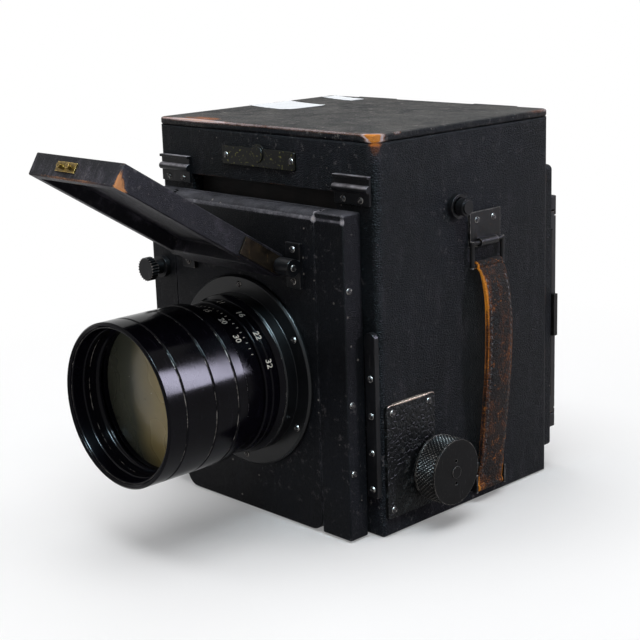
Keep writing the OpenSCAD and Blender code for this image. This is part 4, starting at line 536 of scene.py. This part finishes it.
cloths = {
    # rubbered silk blind, drawn with threads of 0.7 mm because the real ones are too fine to show
    "blind_cloth": ("rubberedSilk", {
        "thread": 0.7, "axes": ("X", "Z"), "cloudSize": 30, "base": "#121213", "tint": "#1c1c1e",
        "gap": "#070707", "bump": 0.5, "roughLow": 0.6, "sheen": 0.25}),
    # blank rag paper glued to the lid: off-white, fibrous, greyed at the edges
    "rag_paper": ("blankRagPaper", {
        "thread": 1.4, "axes": ("X", "Y"), "cloudSize": 12, "base": "#dcdee1", "tint": "#cfd2d5",
        "gap": "#c6c9cc", "bump": 0.15, "roughLow": 0.7, "sheen": 0.0}),
    # waxed linen stitches, blackened brown and fuzzy
    "waxed_thread": ("waxedLinenThread", {
        "thread": 0.35, "axes": ("Y", "Z"), "cloudSize": 5, "base": "#251a13", "tint": "#44301f",
        "gap": "#120c08", "bump": 0.6, "roughLow": 0.55, "sheen": 0.2}),
    # white filler in the engraved figures, yellowed and partly lost
    "engraved_white": ("yellowedEngravingWax", {
        "thread": 0.5, "axes": ("X", "Z"), "cloudSize": 2.5, "base": "#ebe8de", "tint": "#b5b0a5",
        "gap": "#9a9488", "bump": 0.2, "roughLow": 0.5, "sheen": 0.0}),
}
makeFinishes(wovenFinish, {}, cloths)

finishOf = {node: finish.get(node, finish[slotOf[node]]) for node in cadNodes}
for node, thing in cadNodes.items():
    thing.data.materials.clear()
    thing.data.materials.append(finishOf[node])
print("finishes made:", len(bpy.data.materials))


# a piece: its mesh in place, the body it rides on, its slot, and the CAD node it stands for
def newPiece(name, mesh, body, slotName, standsFor=None, material=None):
    mesh.materials.clear()
    mesh.materials.append(material or finish[slotName])
    piece = bpy.data.objects.new(name, mesh)
    scene.collection.objects.link(piece)
    if body:
        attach(piece, body)
    if standsFor:
        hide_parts(standsFor)
    return piece


def asMesh(name, worked):
    mesh = bpy.data.meshes.new(name)
    worked.to_mesh(mesh)
    worked.free()
    return mesh


def smoothMesh(mesh, sharpest=35):  # smooth faces, with an edge kept sharp where it turns further
    worked = bmesh.new()
    worked.from_mesh(mesh)
    for face in worked.faces:
        face.smooth = True
    for edge in worked.edges:
        edge.smooth = len(edge.link_faces) == 2 and edge.calc_face_angle(0) < math.radians(sharpest)
    worked.to_mesh(mesh)
    worked.free()


def settledMesh(piece):  # the evaluated shape as a plain mesh, with its modifiers gone
    graph = bpy.context.evaluated_depsgraph_get()
    mesh = bpy.data.meshes.new_from_object(piece.evaluated_get(graph))
    piece.modifiers.clear()
    return mesh


# faces between rows of points in millimetres
def skinned(name, rows, closed=False, looped=False, capped=False):
    worked = bmesh.new()
    grid = [[worked.verts.new(Vector(point) * mm) for point in row] for row in rows]
    count = len(grid[0])
    for first, second in zip(grid, grid[1:] + grid[:1] if looped else grid[1:]):
        for step in range(count if closed else count - 1):
            after = (step + 1) % count
            worked.faces.new((first[step], first[after], second[after], second[step]))
    if capped:
        worked.faces.new(grid[0])
        worked.faces.new(grid[-1])
    bmesh.ops.recalc_face_normals(worked, faces=worked.faces)
    return asMesh(name, worked)


def thickened(mesh, wall, sharpest=60):  # the same skin with a wall of that many millimetres
    draft = bpy.data.objects.new("draft", mesh)
    scene.collection.objects.link(draft)
    solid = draft.modifiers.new("wall", "SOLIDIFY")
    solid.thickness = wall * mm
    solid.offset = 0
    thick = settledMesh(draft)
    bpy.data.objects.remove(draft)
    smoothMesh(thick, sharpest)
    return thick


# hard pieces: the solid's own faces, welded, with each sharp edge rounded by the radius given in millimetres
rounded = {
    1.1: "hood_lid",
    0.9: "lens_flap",
    0.7: "rising_panel",
    0.6: "holder_rails",
    0.5: "plate_holder",
    0.3: "guide_strips hinge_brackets screen_frame bellows_frame",
    0.25: "front_clips focus_plate focus_knob mirror_frame",
    0.2: "name_plate lens_flange wind_knob speed_dial dark_slide mirror_lever roller_plates",
    0.15: "rise_lock flap_straps lens_tube front_barrel release_button button_collar lid_leaves "
        "lid_hinges",
    0.12: "flap_catch iris_ring strap_bracket strap_anchor",
    0.1: "tripod_bush",
    0.08: "case_screws standard_screws panel_screws",
}
# boards with a window are cut by a rounded block instead: (corner, corner, radius)
boxed = {
    "body_shell": ((-83, -68, 0), (83, 68, 201), 1.6),
    "reversing_back": ((-81, 66, 12), (81, 73.7, 174), 0.9),
    "front_standard": ((-75, -83.4, 0.6), (75, -70.8, 167.7), 1.0),
}
# the case's boards are let into each other by the lap: (axis, how far out their ends lie)
boardEnds = {"places": ((0, 74.97), (1, 59.97)), "lap": 0.06}
# millimetres, and the degrees between faces that count as one
weld = {"gap": 0.002, "flat": 0.6, "sliver": 0.001}


def weldedCopy(node):
    worked = bmesh.new()
    worked.from_mesh(cadNodes[node].data)
    if node == "body_shell":
        for vertex in worked.verts:
            for axis, place in boardEnds["places"]:
                if abs(abs(vertex.co[axis]) - place * mm) < 0.01 * mm:
                    vertex.co[axis] = math.copysign((place + boardEnds["lap"]) * mm, vertex.co[axis])
    bmesh.ops.remove_doubles(worked, verts=worked.verts, dist=weld["gap"] * mm)
    if node not in boxed:
        flat = math.radians(weld["flat"])
        bmesh.ops.dissolve_limit(worked, angle_limit=flat, verts=worked.verts, edges=worked.edges)
        bmesh.ops.dissolve_degenerate(worked, dist=weld["sliver"] * mm, edges=worked.edges)
    mesh = asMesh(node, worked)
    smoothMesh(mesh)
    return mesh


def roundedBlock(low, high, radius, beyond=0.02):
    worked = bmesh.new()
    bmesh.ops.create_cube(worked, size=1)
    for vertex in worked.verts:
        corner = [low[k] - beyond if vertex.co[k] < 0 else high[k] + beyond for k in range(3)]
        vertex.co = Vector(corner) * mm
    bmesh.ops.bevel(worked, geom=worked.edges[:], offset=radius * mm, segments=4, profile=0.5, affect="EDGES")
    bmesh.ops.recalc_face_normals(worked, faces=worked.faces)
    block = bpy.data.objects.new("block", asMesh("block", worked))
    scene.collection.objects.link(block)
    return block


def roundedByBevel(piece, radius):
    edges = piece.modifiers.new("rounding", "BEVEL")
    edges.width = radius * mm
    edges.segments = 2
    edges.limit_method = "ANGLE"
    edges.angle_limit = math.radians(38)
    edges.miter_outer = "MITER_ARC"
    edges.harden_normals = True
    piece.data = settledMesh(piece)


def roundedByBlock(piece, size):
    block = roundedBlock(*size)
    cut = piece.modifiers.new("rounding", "BOOLEAN")
    cut.operation = "INTERSECT"
    cut.solver = "EXACT"
    cut.use_self = True
    cut.object = block
    piece.data = settledMesh(piece)
    bpy.data.objects.remove(block)
    smoothMesh(piece.data)
    facing = piece.modifiers.new("facing", "WEIGHTED_NORMAL")
    facing.keep_sharp = True
    piece.data = settledMesh(piece)


dressing = [(node, roundedByBevel, radius) for radius, nodes in rounded.items() for node in nodes.split()]
dressing += [(node, roundedByBlock, size) for node, size in boxed.items()]
for node, rounding, size in dressing:
    piece = newPiece(node + ".dressed", weldedCopy(node), None, slotOf[node], material=finishOf[node])
    rounding(piece, size)
    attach(piece, bodyOf[node])
    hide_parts(node)
print("hard pieces rounded:", len(dressing))


# hand strap: one length of leather folded round both wires and padded in the middle
strap = {
    "wireX": 85.73, "top": 130, "bottom": 8, "front": 2, "width": 20, "thin": 1.3, "thick": 3.8,
    "bow": 7.0, "loop": 1.8, "rows": 150, "across": 22, "seam": 0.80, "seamDepth": 0.28, "crown": 0.3,
    "wave": 0.5, "loopSteps": 13, "starts": 0.022, "ends": 0.985, "lean": 0.55, "edgeThin": 0.42,
    "seamWidth": 0.05, "waves": 12, "seed": 11, "padding": 5,
    "topFold": (235, 265), "bottomFold": (20, 245),  # degrees where a loop starts, and its sweep
}


def roundWire(strap, height, start, sweep):  # points round one of the wires, in degrees from its outer side
    points = []
    for step in range(strap["loopSteps"] + 1):
        turn = math.radians(start - step * sweep / strap["loopSteps"])
        points.append((strap["wireX"] + strap["loop"] * math.cos(turn),
            height + strap["loop"] * math.sin(turn), strap["thin"] / 2))
    return points


def strapPath(strap):
    drop = strap["top"] - strap["bottom"]
    filling = (strap["thick"] - strap["thin"]) / 2
    points = roundWire(strap, strap["top"], *strap["topFold"])
    for step in range(strap["rows"] + 1):
        t = strap["starts"] + (strap["ends"] - strap["starts"]) * step / strap["rows"]
        half = strap["thin"] / 2 + filling * min(1, strap["padding"] * min(t, 1 - t))
        x = strap["wireX"] + strap["thin"] / 2 + strap["bow"] * math.sin(math.pi * t ** strap["lean"])
        points.append((x, strap["top"] - t * drop, half))
    return points + roundWire(strap, strap["bottom"], *strap["bottomFold"])


def alongPath(path, index):  # direction of an (x, z) path at one of its points
    before, after = path[max(index - 1, 0)], path[min(index + 1, len(path) - 1)]
    return Vector((after[0] - before[0], 0, after[1] - before[1])).normalized()


def makeStrap(strap):
    random.seed(strap["seed"])
    path = strapPath(strap)
    halfWidth = strap["width"] / 2
    middle = strap["front"] + halfWidth
    slowWave = [random.uniform(-1, 1) for _ in range(strap["waves"])]
    rows = []
    for index, (x, z, half) in enumerate(path):
        along = alongPath(path, index)
        out = Vector((-along.z, 0, along.x))
        share = index / (len(path) - 1) * (len(slowWave) - 1)
        low = int(min(share, len(slowWave) - 2))
        sway = slowWave[low] * (1 - share + low) + slowWave[low + 1] * (share - low)
        padded = max(0.0, (half - strap["thin"] / 2) / ((strap["thick"] - strap["thin"]) / 2))
        row = []
        for face in (1, -1):
            for step in range(strap["across"] + 1):
                v = (-1 + 2 * step / strap["across"]) * face
                thin = 1 - strap["edgeThin"] * abs(v) ** 8
                groove = (abs(v) - strap["seam"]) / strap["seamWidth"]
                dip = strap["seamDepth"] * padded * math.exp(-groove ** 2)
                lift = half * thin - dip + (strap["crown"] * padded * (1 - v * v) if face > 0 else 0)
                edge = halfWidth - strap["wave"] * (0.5 + 0.5 * sway) * padded
                row.append(Vector((x, middle + v * edge, z)) + out * face * lift)
        rows.append(row)
    mesh = skinned("handStrap", rows, closed=True, capped=True)
    smoothMesh(mesh, 60)
    return mesh


newPiece("handStrap", makeStrap(strap), "body", "strap_leather", "hand_strap")
print("strap made")


# repeats along a path: one small rounded bar on each point, built as a node tree
def barTree(name, material):
    tree = bpy.data.node_groups.new(name, "GeometryNodeTree")
    tree.interface.new_socket("Geometry", in_out="INPUT", socket_type="NodeSocketGeometry")
    sizes = {}
    for label in ("Spacing", "Bar Length", "Bar Width", "Bar Height"):
        socket = tree.interface.new_socket(label, in_out="INPUT", socket_type="NodeSocketFloat")
        sizes[label] = socket.identifier
    tree.interface.new_socket("Geometry", in_out="OUTPUT", socket_type="NodeSocketGeometry")
    add = adderFor(tree)
    given = add("NodeGroupInput").node.outputs
    path = add("GeometryNodeMeshToCurve", {"Mesh": given["Geometry"]})
    spread = add("GeometryNodeCurveToPoints", {"Curve": path, "Length": given["Spacing"]}, mode="LENGTH")
    points = spread.node.outputs
    size = add("CombineXYZ", {0: given["Bar Width"], 1: given["Bar Height"], 2: given["Bar Length"]})
    bar = add("GeometryNodeMeshIcoSphere", {"Radius": 0.5, "Subdivisions": 2}, out="Mesh")
    placed = add("GeometryNodeInstanceOnPoints", {
        "Points": points["Points"], "Instance": bar, "Rotation": points["Rotation"], "Scale": size})
    real = add("GeometryNodeRealizeInstances", {"Geometry": placed})
    dressed = add("GeometryNodeSetMaterial", {"Geometry": real, "Material": material})
    add("NodeGroupOutput", {0: dressed})
    return tree, sizes


def barsAlong(name, paths, bar, material, body):
    points, links = [], []
    for path in paths:
        links += [(len(points) + step, len(points) + step + 1) for step in range(len(path) - 1)]
        points += [Vector(point) * mm for point in path]
    carrier = bpy.data.meshes.new(name + "Path")
    carrier.from_pydata(points, links, [])
    piece = bpy.data.objects.new(name, carrier)
    scene.collection.objects.link(piece)
    tree, sizes = barTree(name + "Tree", material)
    repeat = piece.modifiers.new("repeat", "NODES")
    repeat.node_group = tree
    for label, value in bar.items():
        repeat[sizes[label]] = value * mm
    piece.data = settledMesh(piece)
    for face in piece.data.polygons:
        face.use_smooth = True
    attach(piece, body)


stitch = {"Spacing": 3.4, "Bar Length": 2.4, "Bar Width": 0.7, "Bar Height": 0.55}
# path points left free at each end, a share of the half thickness, and millimetres
seamRun = {"ends": 20, "high": 0.95, "inset": 0.15, "sunk": 0.12}
seamPath = strapPath(strap)[seamRun["ends"]:-seamRun["ends"]]
halfWidth = strap["width"] / 2
seams = []
for side in (-1, 1):
    seamY = strap["front"] + halfWidth + side * strap["seam"] * (halfWidth - seamRun["inset"])
    seam = []
    for index, (x, z, half) in enumerate(seamPath):
        along = alongPath(seamPath, index)
        lift = half * seamRun["high"] - seamRun["sunk"]
        seam.append((x - along.z * lift, seamY, z + along.x * lift))
    seams.append(seam)
barsAlong("strapStitches", seams, stitch, finish["waxed_thread"], "body")
print("stitches made")


# folded leather: a square tube whose walls go in and out, mitred at its corners
folding = {"steps": 10, "rounding": 0.35, "held": 6, "phase": 6.28, "across": 3.1, "along": 2.2}


def foldedTube(name, fold):
    random.seed(fold["seed"])
    halfA, halfB = fold["width"] / 2, fold["height"] / 2
    steps = fold["folds"] * folding["steps"]
    phases = [random.uniform(0, folding["phase"]) for _ in range(4)]
    rows = []
    for row in range(steps + 1):
        share = row / steps
        swing = abs(((share * fold["folds"] * 2) % 2) - 1)  # 1 at the outer ridges, 0 in the valleys
        swing = swing * swing * (3 - 2 * swing) * folding["rounding"] + swing * (1 - folding["rounding"])
        inset = fold["inner"] + (1 - swing) * fold["depth"]
        a, b = halfA - inset, halfB - inset
        held = min(1, folding["held"] * share, folding["held"] * (1 - share))
        corners = [(-a, -b), (a, -b), (a, b), (-a, b)]
        ring = []
        for index in range(4):
            (u0, v0), (u1, v1) = corners[index], corners[(index + 1) % 4]
            for step in range(fold["sideSteps"]):
                s = step / fold["sideSteps"]
                u, v = u0 + (u1 - u0) * s, v0 + (v1 - v0) * s
                sway = folding["across"] * s + phases[index] + folding["along"] * share * fold["folds"]
                slack = fold["slack"] * math.sin(math.pi * s) * math.sin(sway) * held
                if index % 2 == 0:
                    v += -slack if index == 2 else slack
                else:
                    u += -slack if index == 1 else slack
                ring.append(fold["place"](u, v, share))
        rows.append(ring)
    return thickened(skinned(name, rows, closed=True), fold["wall"], 70)


hoodFold = {
    "width": 138, "height": 96, "folds": 6, "depth": 8, "inner": 0.7, "wall": 1.1, "sideSteps": 26,
    "slack": 0.35, "seed": 5, "place": lambda u, v, share: (u, 6 + v, 160.6 + share * (196.2 - 160.6)),
}
newPiece("hoodFolds", foldedTube("hoodFolds", hoodFold), "body", "hood_leather", "hood_leather")
frontFold = {
    "width": 106, "height": 146, "folds": 6, "depth": 7, "inner": 0.6, "wall": 0.7, "sideSteps": 28,
    "slack": 0.12, "seed": 8, "place": lambda u, v, share: (u, -60.4 - share * (70.4 - 60.4), 91 + v),
}
frontFolds = foldedTube("bellowsSkin", frontFold)
bellowsSkin = newPiece("bellowsSkin", frontFolds, None, "bellows_leather", "bellows")
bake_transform(bellowsSkin)
print("folds made")


# blind: thin cloth pulled flat between the two rollers
blind = {
    "half": 67.7, "y": 59.5, "low": 30.2, "high": 153.6, "thick": 0.3, "columns": 60, "rows": 56,
    "ripple": 0.08, "ripples": 0.21,
}


def makeBlind(blind):
    rows = []
    for row in range(blind["rows"] + 1):
        t = row / blind["rows"]
        line = []
        for column in range(blind["columns"] + 1):
            x = -blind["half"] + 2 * blind["half"] * column / blind["columns"]
            ripple = blind["ripple"] * math.sin(x * blind["ripples"]) * math.sin(math.pi * t)
            line.append((x, blind["y"] + ripple, blind["low"] + (blind["high"] - blind["low"]) * t))
        rows.append(line)
    return thickened(skinned("shutterCloth", rows), blind["thick"])


shutterCloth = newPiece("shutterCloth", makeBlind(blind), "body", "blind_cloth", "shutter_blind")


# blank paper glued on the lid, lifting a little at its corners
papers = {
    "paperPatch_1": {"corners": [(-81, -2), (-43, -9), (-40, 20), (-79, 28)], "curl": 0.5},
    "paperPatch_2": {"corners": [(-79, 55), (-47, 46), (-45, 57), (-77, 65)], "curl": 0.3},
}
paper = {"steps": 18, "above": 205.16, "thick": 0.16, "torn": 0.25, "cockle": 0.03, "seed": 3}


def makePaper(name, patch):
    random.seed(paper["seed"])
    (ax, ay), (bx, by), (cx, cy), (dx, dy) = patch["corners"]
    steps = paper["steps"]
    rows = []
    for row in range(steps + 1):
        t = row / steps
        line = []
        for column in range(steps + 1):
            s = column / steps
            x = (ax * (1 - s) + bx * s) * (1 - t) + (dx * (1 - s) + cx * s) * t
            y = (ay * (1 - s) + by * s) * (1 - t) + (dy * (1 - s) + cy * s) * t
            atEdge = row in (0, steps) or column in (0, steps)
            torn = paper["torn"] * random.uniform(-1, 1) if atEdge else 0
            curled = patch["curl"] * abs(2 * s - 1) ** 6 * abs(2 * t - 1) ** 6
            cockled = paper["cockle"] * math.sin(9 * s + 7 * t)
            line.append((x + torn, y + torn, paper["above"] + curled + cockled))
        rows.append(line)
    return thickened(skinned(name, rows), paper["thick"], 50)


for name, patch in papers.items():
    newPiece(name, makePaper(name, patch), "lid", "lid_leather", material=finish["rag_paper"])
print("cloth and paper made")


# turned rings on the lens axis, from a closed profile of (forward of the panel, radius)
lens = {"axisZ": 77.8, "panelY": -83.4, "turns": 128}


def onLens(forward, radius, turn):
    return (radius * math.sin(turn), lens["panelY"] - forward, lens["axisZ"] + radius * math.cos(turn))


def turnedRing(name, profile):
    rows = [[onLens(forward, radius, math.tau * step / lens["turns"]) for forward, radius in profile]
        for step in range(lens["turns"])]
    mesh = skinned(name, rows, closed=True, looped=True)
    smoothMesh(mesh, 32)
    newPiece(name, mesh, "panel", "lens_lacquer")


# lining of the hood: a smooth wall, a step half way, and a rounded lip that holds the glass
lining = [(67.5, 39.45), (83.7, 39.45), (83.5, 38.9), (82.9, 38.65), (77.6, 38.5), (77.1, 38.3), (76.8, 37.9),
    (70.6, 37.7), (69.9, 37.5), (69.3, 37.1), (68.9, 36.6), (68.5, 36.4), (67.5, 36.35)]
turnedRing("hoodLining", lining)
# bevelled shoulder of the collar, which carries the bright bow of light behind the stop ring
turnedRing("collarShoulder", [
    (10.25, 42.15), (10.5, 42.1), (10.8, 41.85), (12.5, 39.95), (12.8, 39.5), (12.9, 38.75), (10.25, 38.75)])
print("lens rings made")


# plain figures, filled with wax: stop numbers on the turning ring, distances on the tube, speeds on the dial
figures = {
    "stopFigures": {"words": ("4.5", "5.6", "8", "11", "16", "22", "32"), "first": -62, "step": 22,
        "height": 3.6, "drum": (40.4, 17.6), "body": "iris_ring", "slot": "lens_lacquer"},
    "rangeFigures": {"words": ("6", "8", "10", "15", "20", "30"), "first": -50, "step": 19, "height": 3.4,
        "drum": (38.6, 28.6), "body": "panel", "slot": "lens_lacquer"},
    "dialFigures": {"words": tuple("12345678"), "first": 0, "step": 45, "height": 2.7,
        "drum": None, "body": "speed_dial", "slot": "nickel"},
}
# millimetres, but for the scale of the type
engraving = {"scale": 1.4, "thick": 0.04, "bold": 0.06, "proud": 0.02, "longest": 0.5}
dial = {"x": -85.7, "y": 54.5, "z": 30, "radius": 10.9}


def onDrum(radius, forward):  # wrapped round a drum on the lens axis, tops towards the case
    def place(turn, across, up, lift):
        outside = radius + engraving["proud"] + lift / mm
        return Vector(onLens(forward - up / mm, outside, turn + across / (radius * mm))) * mm
    return place


def onDial(turn, across, up, lift):  # laid on the dial, tops outwards
    outward = Vector((0, -math.sin(turn), math.cos(turn)))
    sideways = Vector((0, -math.cos(turn), -math.sin(turn)))
    centre = Vector((dial["x"] - engraving["proud"], dial["y"], dial["z"])) * mm
    return centre + outward * (dial["radius"] * mm + up) + sideways * across + Vector((-lift, 0, 0))


def figureMesh(words, height):
    curve = bpy.data.curves.new("figures", "FONT")
    curve.body = words
    curve.size = height * mm * engraving["scale"]
    curve.align_x = "CENTER"
    curve.align_y = "CENTER"
    curve.extrude = engraving["thick"] * mm
    curve.offset = engraving["bold"] * mm
    curve.resolution_u = 3
    holder = bpy.data.objects.new("figures", curve)
    scene.collection.objects.link(holder)
    mesh = bpy.data.meshes.new_from_object(holder.evaluated_get(bpy.context.evaluated_depsgraph_get()))
    bpy.data.objects.remove(holder)
    return mesh


for name, row in figures.items():
    place = onDrum(*row["drum"]) if row["drum"] else onDial
    whole = bmesh.new()
    for index, words in enumerate(row["words"]):
        worked = bmesh.new()
        worked.from_mesh(figureMesh(words, row["height"]))
        long = [edge for edge in worked.edges if edge.calc_length() > engraving["longest"] * mm]
        bmesh.ops.subdivide_edges(worked, edges=long, cuts=2)
        turn = math.radians(row["first"] + row["step"] * index)
        for vertex in worked.verts:
            vertex.co = place(turn, *vertex.co)
        bmesh.ops.recalc_face_normals(worked, faces=worked.faces)
        whole.from_mesh(asMesh("figure", worked))
    newPiece(name, asMesh(name, whole), row["body"], row["slot"], material=finish["engraved_white"])

ticks = {"radius": 38.62, "forward": 24.4, "from": -60, "to": 60}
tickTurns = range(ticks["from"], ticks["to"] + 1)
tickPath = [onLens(ticks["forward"], ticks["radius"], math.radians(turn)) for turn in tickTurns]
tick = {"Spacing": 3.2, "Bar Length": 0.35, "Bar Width": 1.6, "Bar Height": 0.12}
barsAlong("rangeTicks", [tickPath], tick, finish["engraved_white"], "panel")
print("figures made")


def backgroundRays(add):  # the camera's rays, and those off gloss or through glass, see the white background
    rays = add("LightPath").node.outputs
    bounced = add("Math", {0: rays["Is Glossy Ray"], 1: rays["Is Transmission Ray"]}, operation="MAXIMUM")
    return add("Math", {0: rays["Is Camera Ray"], 1: bounced}, operation="MAXIMUM")


# floor of white paper: it keeps the shadow, and turns to plain white further off where the background is seen
floor = {
    "paper": "#f1f1f2", "shade": "#ededee", "near": 0.12, "far": 0.45, "least": 0.2, "patch": 330,
    "half": 6, "below": 0.2,
}


def studioPaper(add, place, floor):
    cloudy = patches(add, place, floor["patch"], 0.3, 0.7)
    colour = layeredColour(add, floor["paper"], [(cloudy, floor["shade"])])
    paper = add("BsdfPrincipled", {"Base Color": colour, "Roughness": 0.9, "Specular IOR Level": 0.1})
    white = add("Emission", {"Strength": 1.0})
    away = add("VectorMath", {0: place}, out="Value", operation="LENGTH")
    fade = add("MapRange", {0: away, 1: floor["near"], 2: floor["far"], 3: floor["least"]})
    share = add("Math", {0: fade, 1: backgroundRays(add)}, operation="MULTIPLY")
    return add("MixShader", {0: share, 1: paper, 2: white})


def layFloor(floor):
    worked = bmesh.new()
    bmesh.ops.create_grid(worked, x_segments=8, y_segments=8, size=floor["half"])
    mesh = asMesh("studioFloor", worked)
    mesh.materials.append(finish["studio_floor"])
    mesh.transform(Matrix.Translation((0, 0, -floor["below"] * mm)))
    ground = bpy.data.objects.new("studioFloor", mesh)
    scene.collection.objects.link(ground)


makeFinishes(studioPaper, floor, {"studio_floor": ("whiteStudioPaper", {})})
layFloor(floor)

# one broad light overhead, a weak one in front, and two cards seen only in the gloss; metres and watts
lightsAim = Vector((0, 0, 0.1))
softLights = {
    "topLight": {"place": (0.0, -0.1, 2.2), "size": (2.4, 1.9), "power": 58, "colour": (1, 1, 1)},
    "frontLight": {"place": (-1.3, -1.5, 1.0), "size": (0.8, 0.8), "power": 4, "colour": (0.9, 0.95, 1.0)},
    "bandCard": {"place": (1.05, 0.72, 0.75), "size": (0.2, 0.75), "power": 44, "colour": (0.8, 0.78, 1.0)},
    "bowCard": {"place": (0.62, -0.42, 1.2), "size": (0.4, 0.4), "power": 110, "colour": (0.6, 0.85, 1.0)},
}
for name, light in softLights.items():
    data = bpy.data.lights.new(name, "AREA")
    data.energy = light["power"]
    data.color = light["colour"]
    data.shape = "RECTANGLE"
    data.size, data.size_y = light["size"]
    lamp = bpy.data.objects.new(name, data)
    scene.collection.objects.link(lamp)
    lamp.visible_diffuse = not name.endswith("Card")
    lamp.location = light["place"]
    lamp.rotation_euler = (lightsAim - lamp.location).to_track_quat("-Z", "Y").to_euler()

# the background is plain white; matt surfaces are lit by grey walls and a dim ceiling
room = {"floorLine": 0.24, "ceilingLine": 0.55, "wall": 0.38, "ceiling": 0.14}
world = bpy.data.worlds.new("whiteRoom")
scene.world = world
world.use_nodes = True
world.node_tree.nodes.clear()
add = adderFor(world.node_tree)
facing = add("TexCoord", out="Generated")
height = add("SeparateXYZ", {0: facing}, out=2)
walls = add("MapRange", {
    0: height, 1: room["floorLine"], 2: room["ceilingLine"], 3: room["wall"], 4: room["ceiling"]})
strength = add("Mix", {0: backgroundRays(add), 2: walls, 3: 1.0})
glow = add("Background", {"Color": (1, 1, 1, 1), "Strength": strength})
add("OutputWorld", {"Surface": glow})
print("studio made")
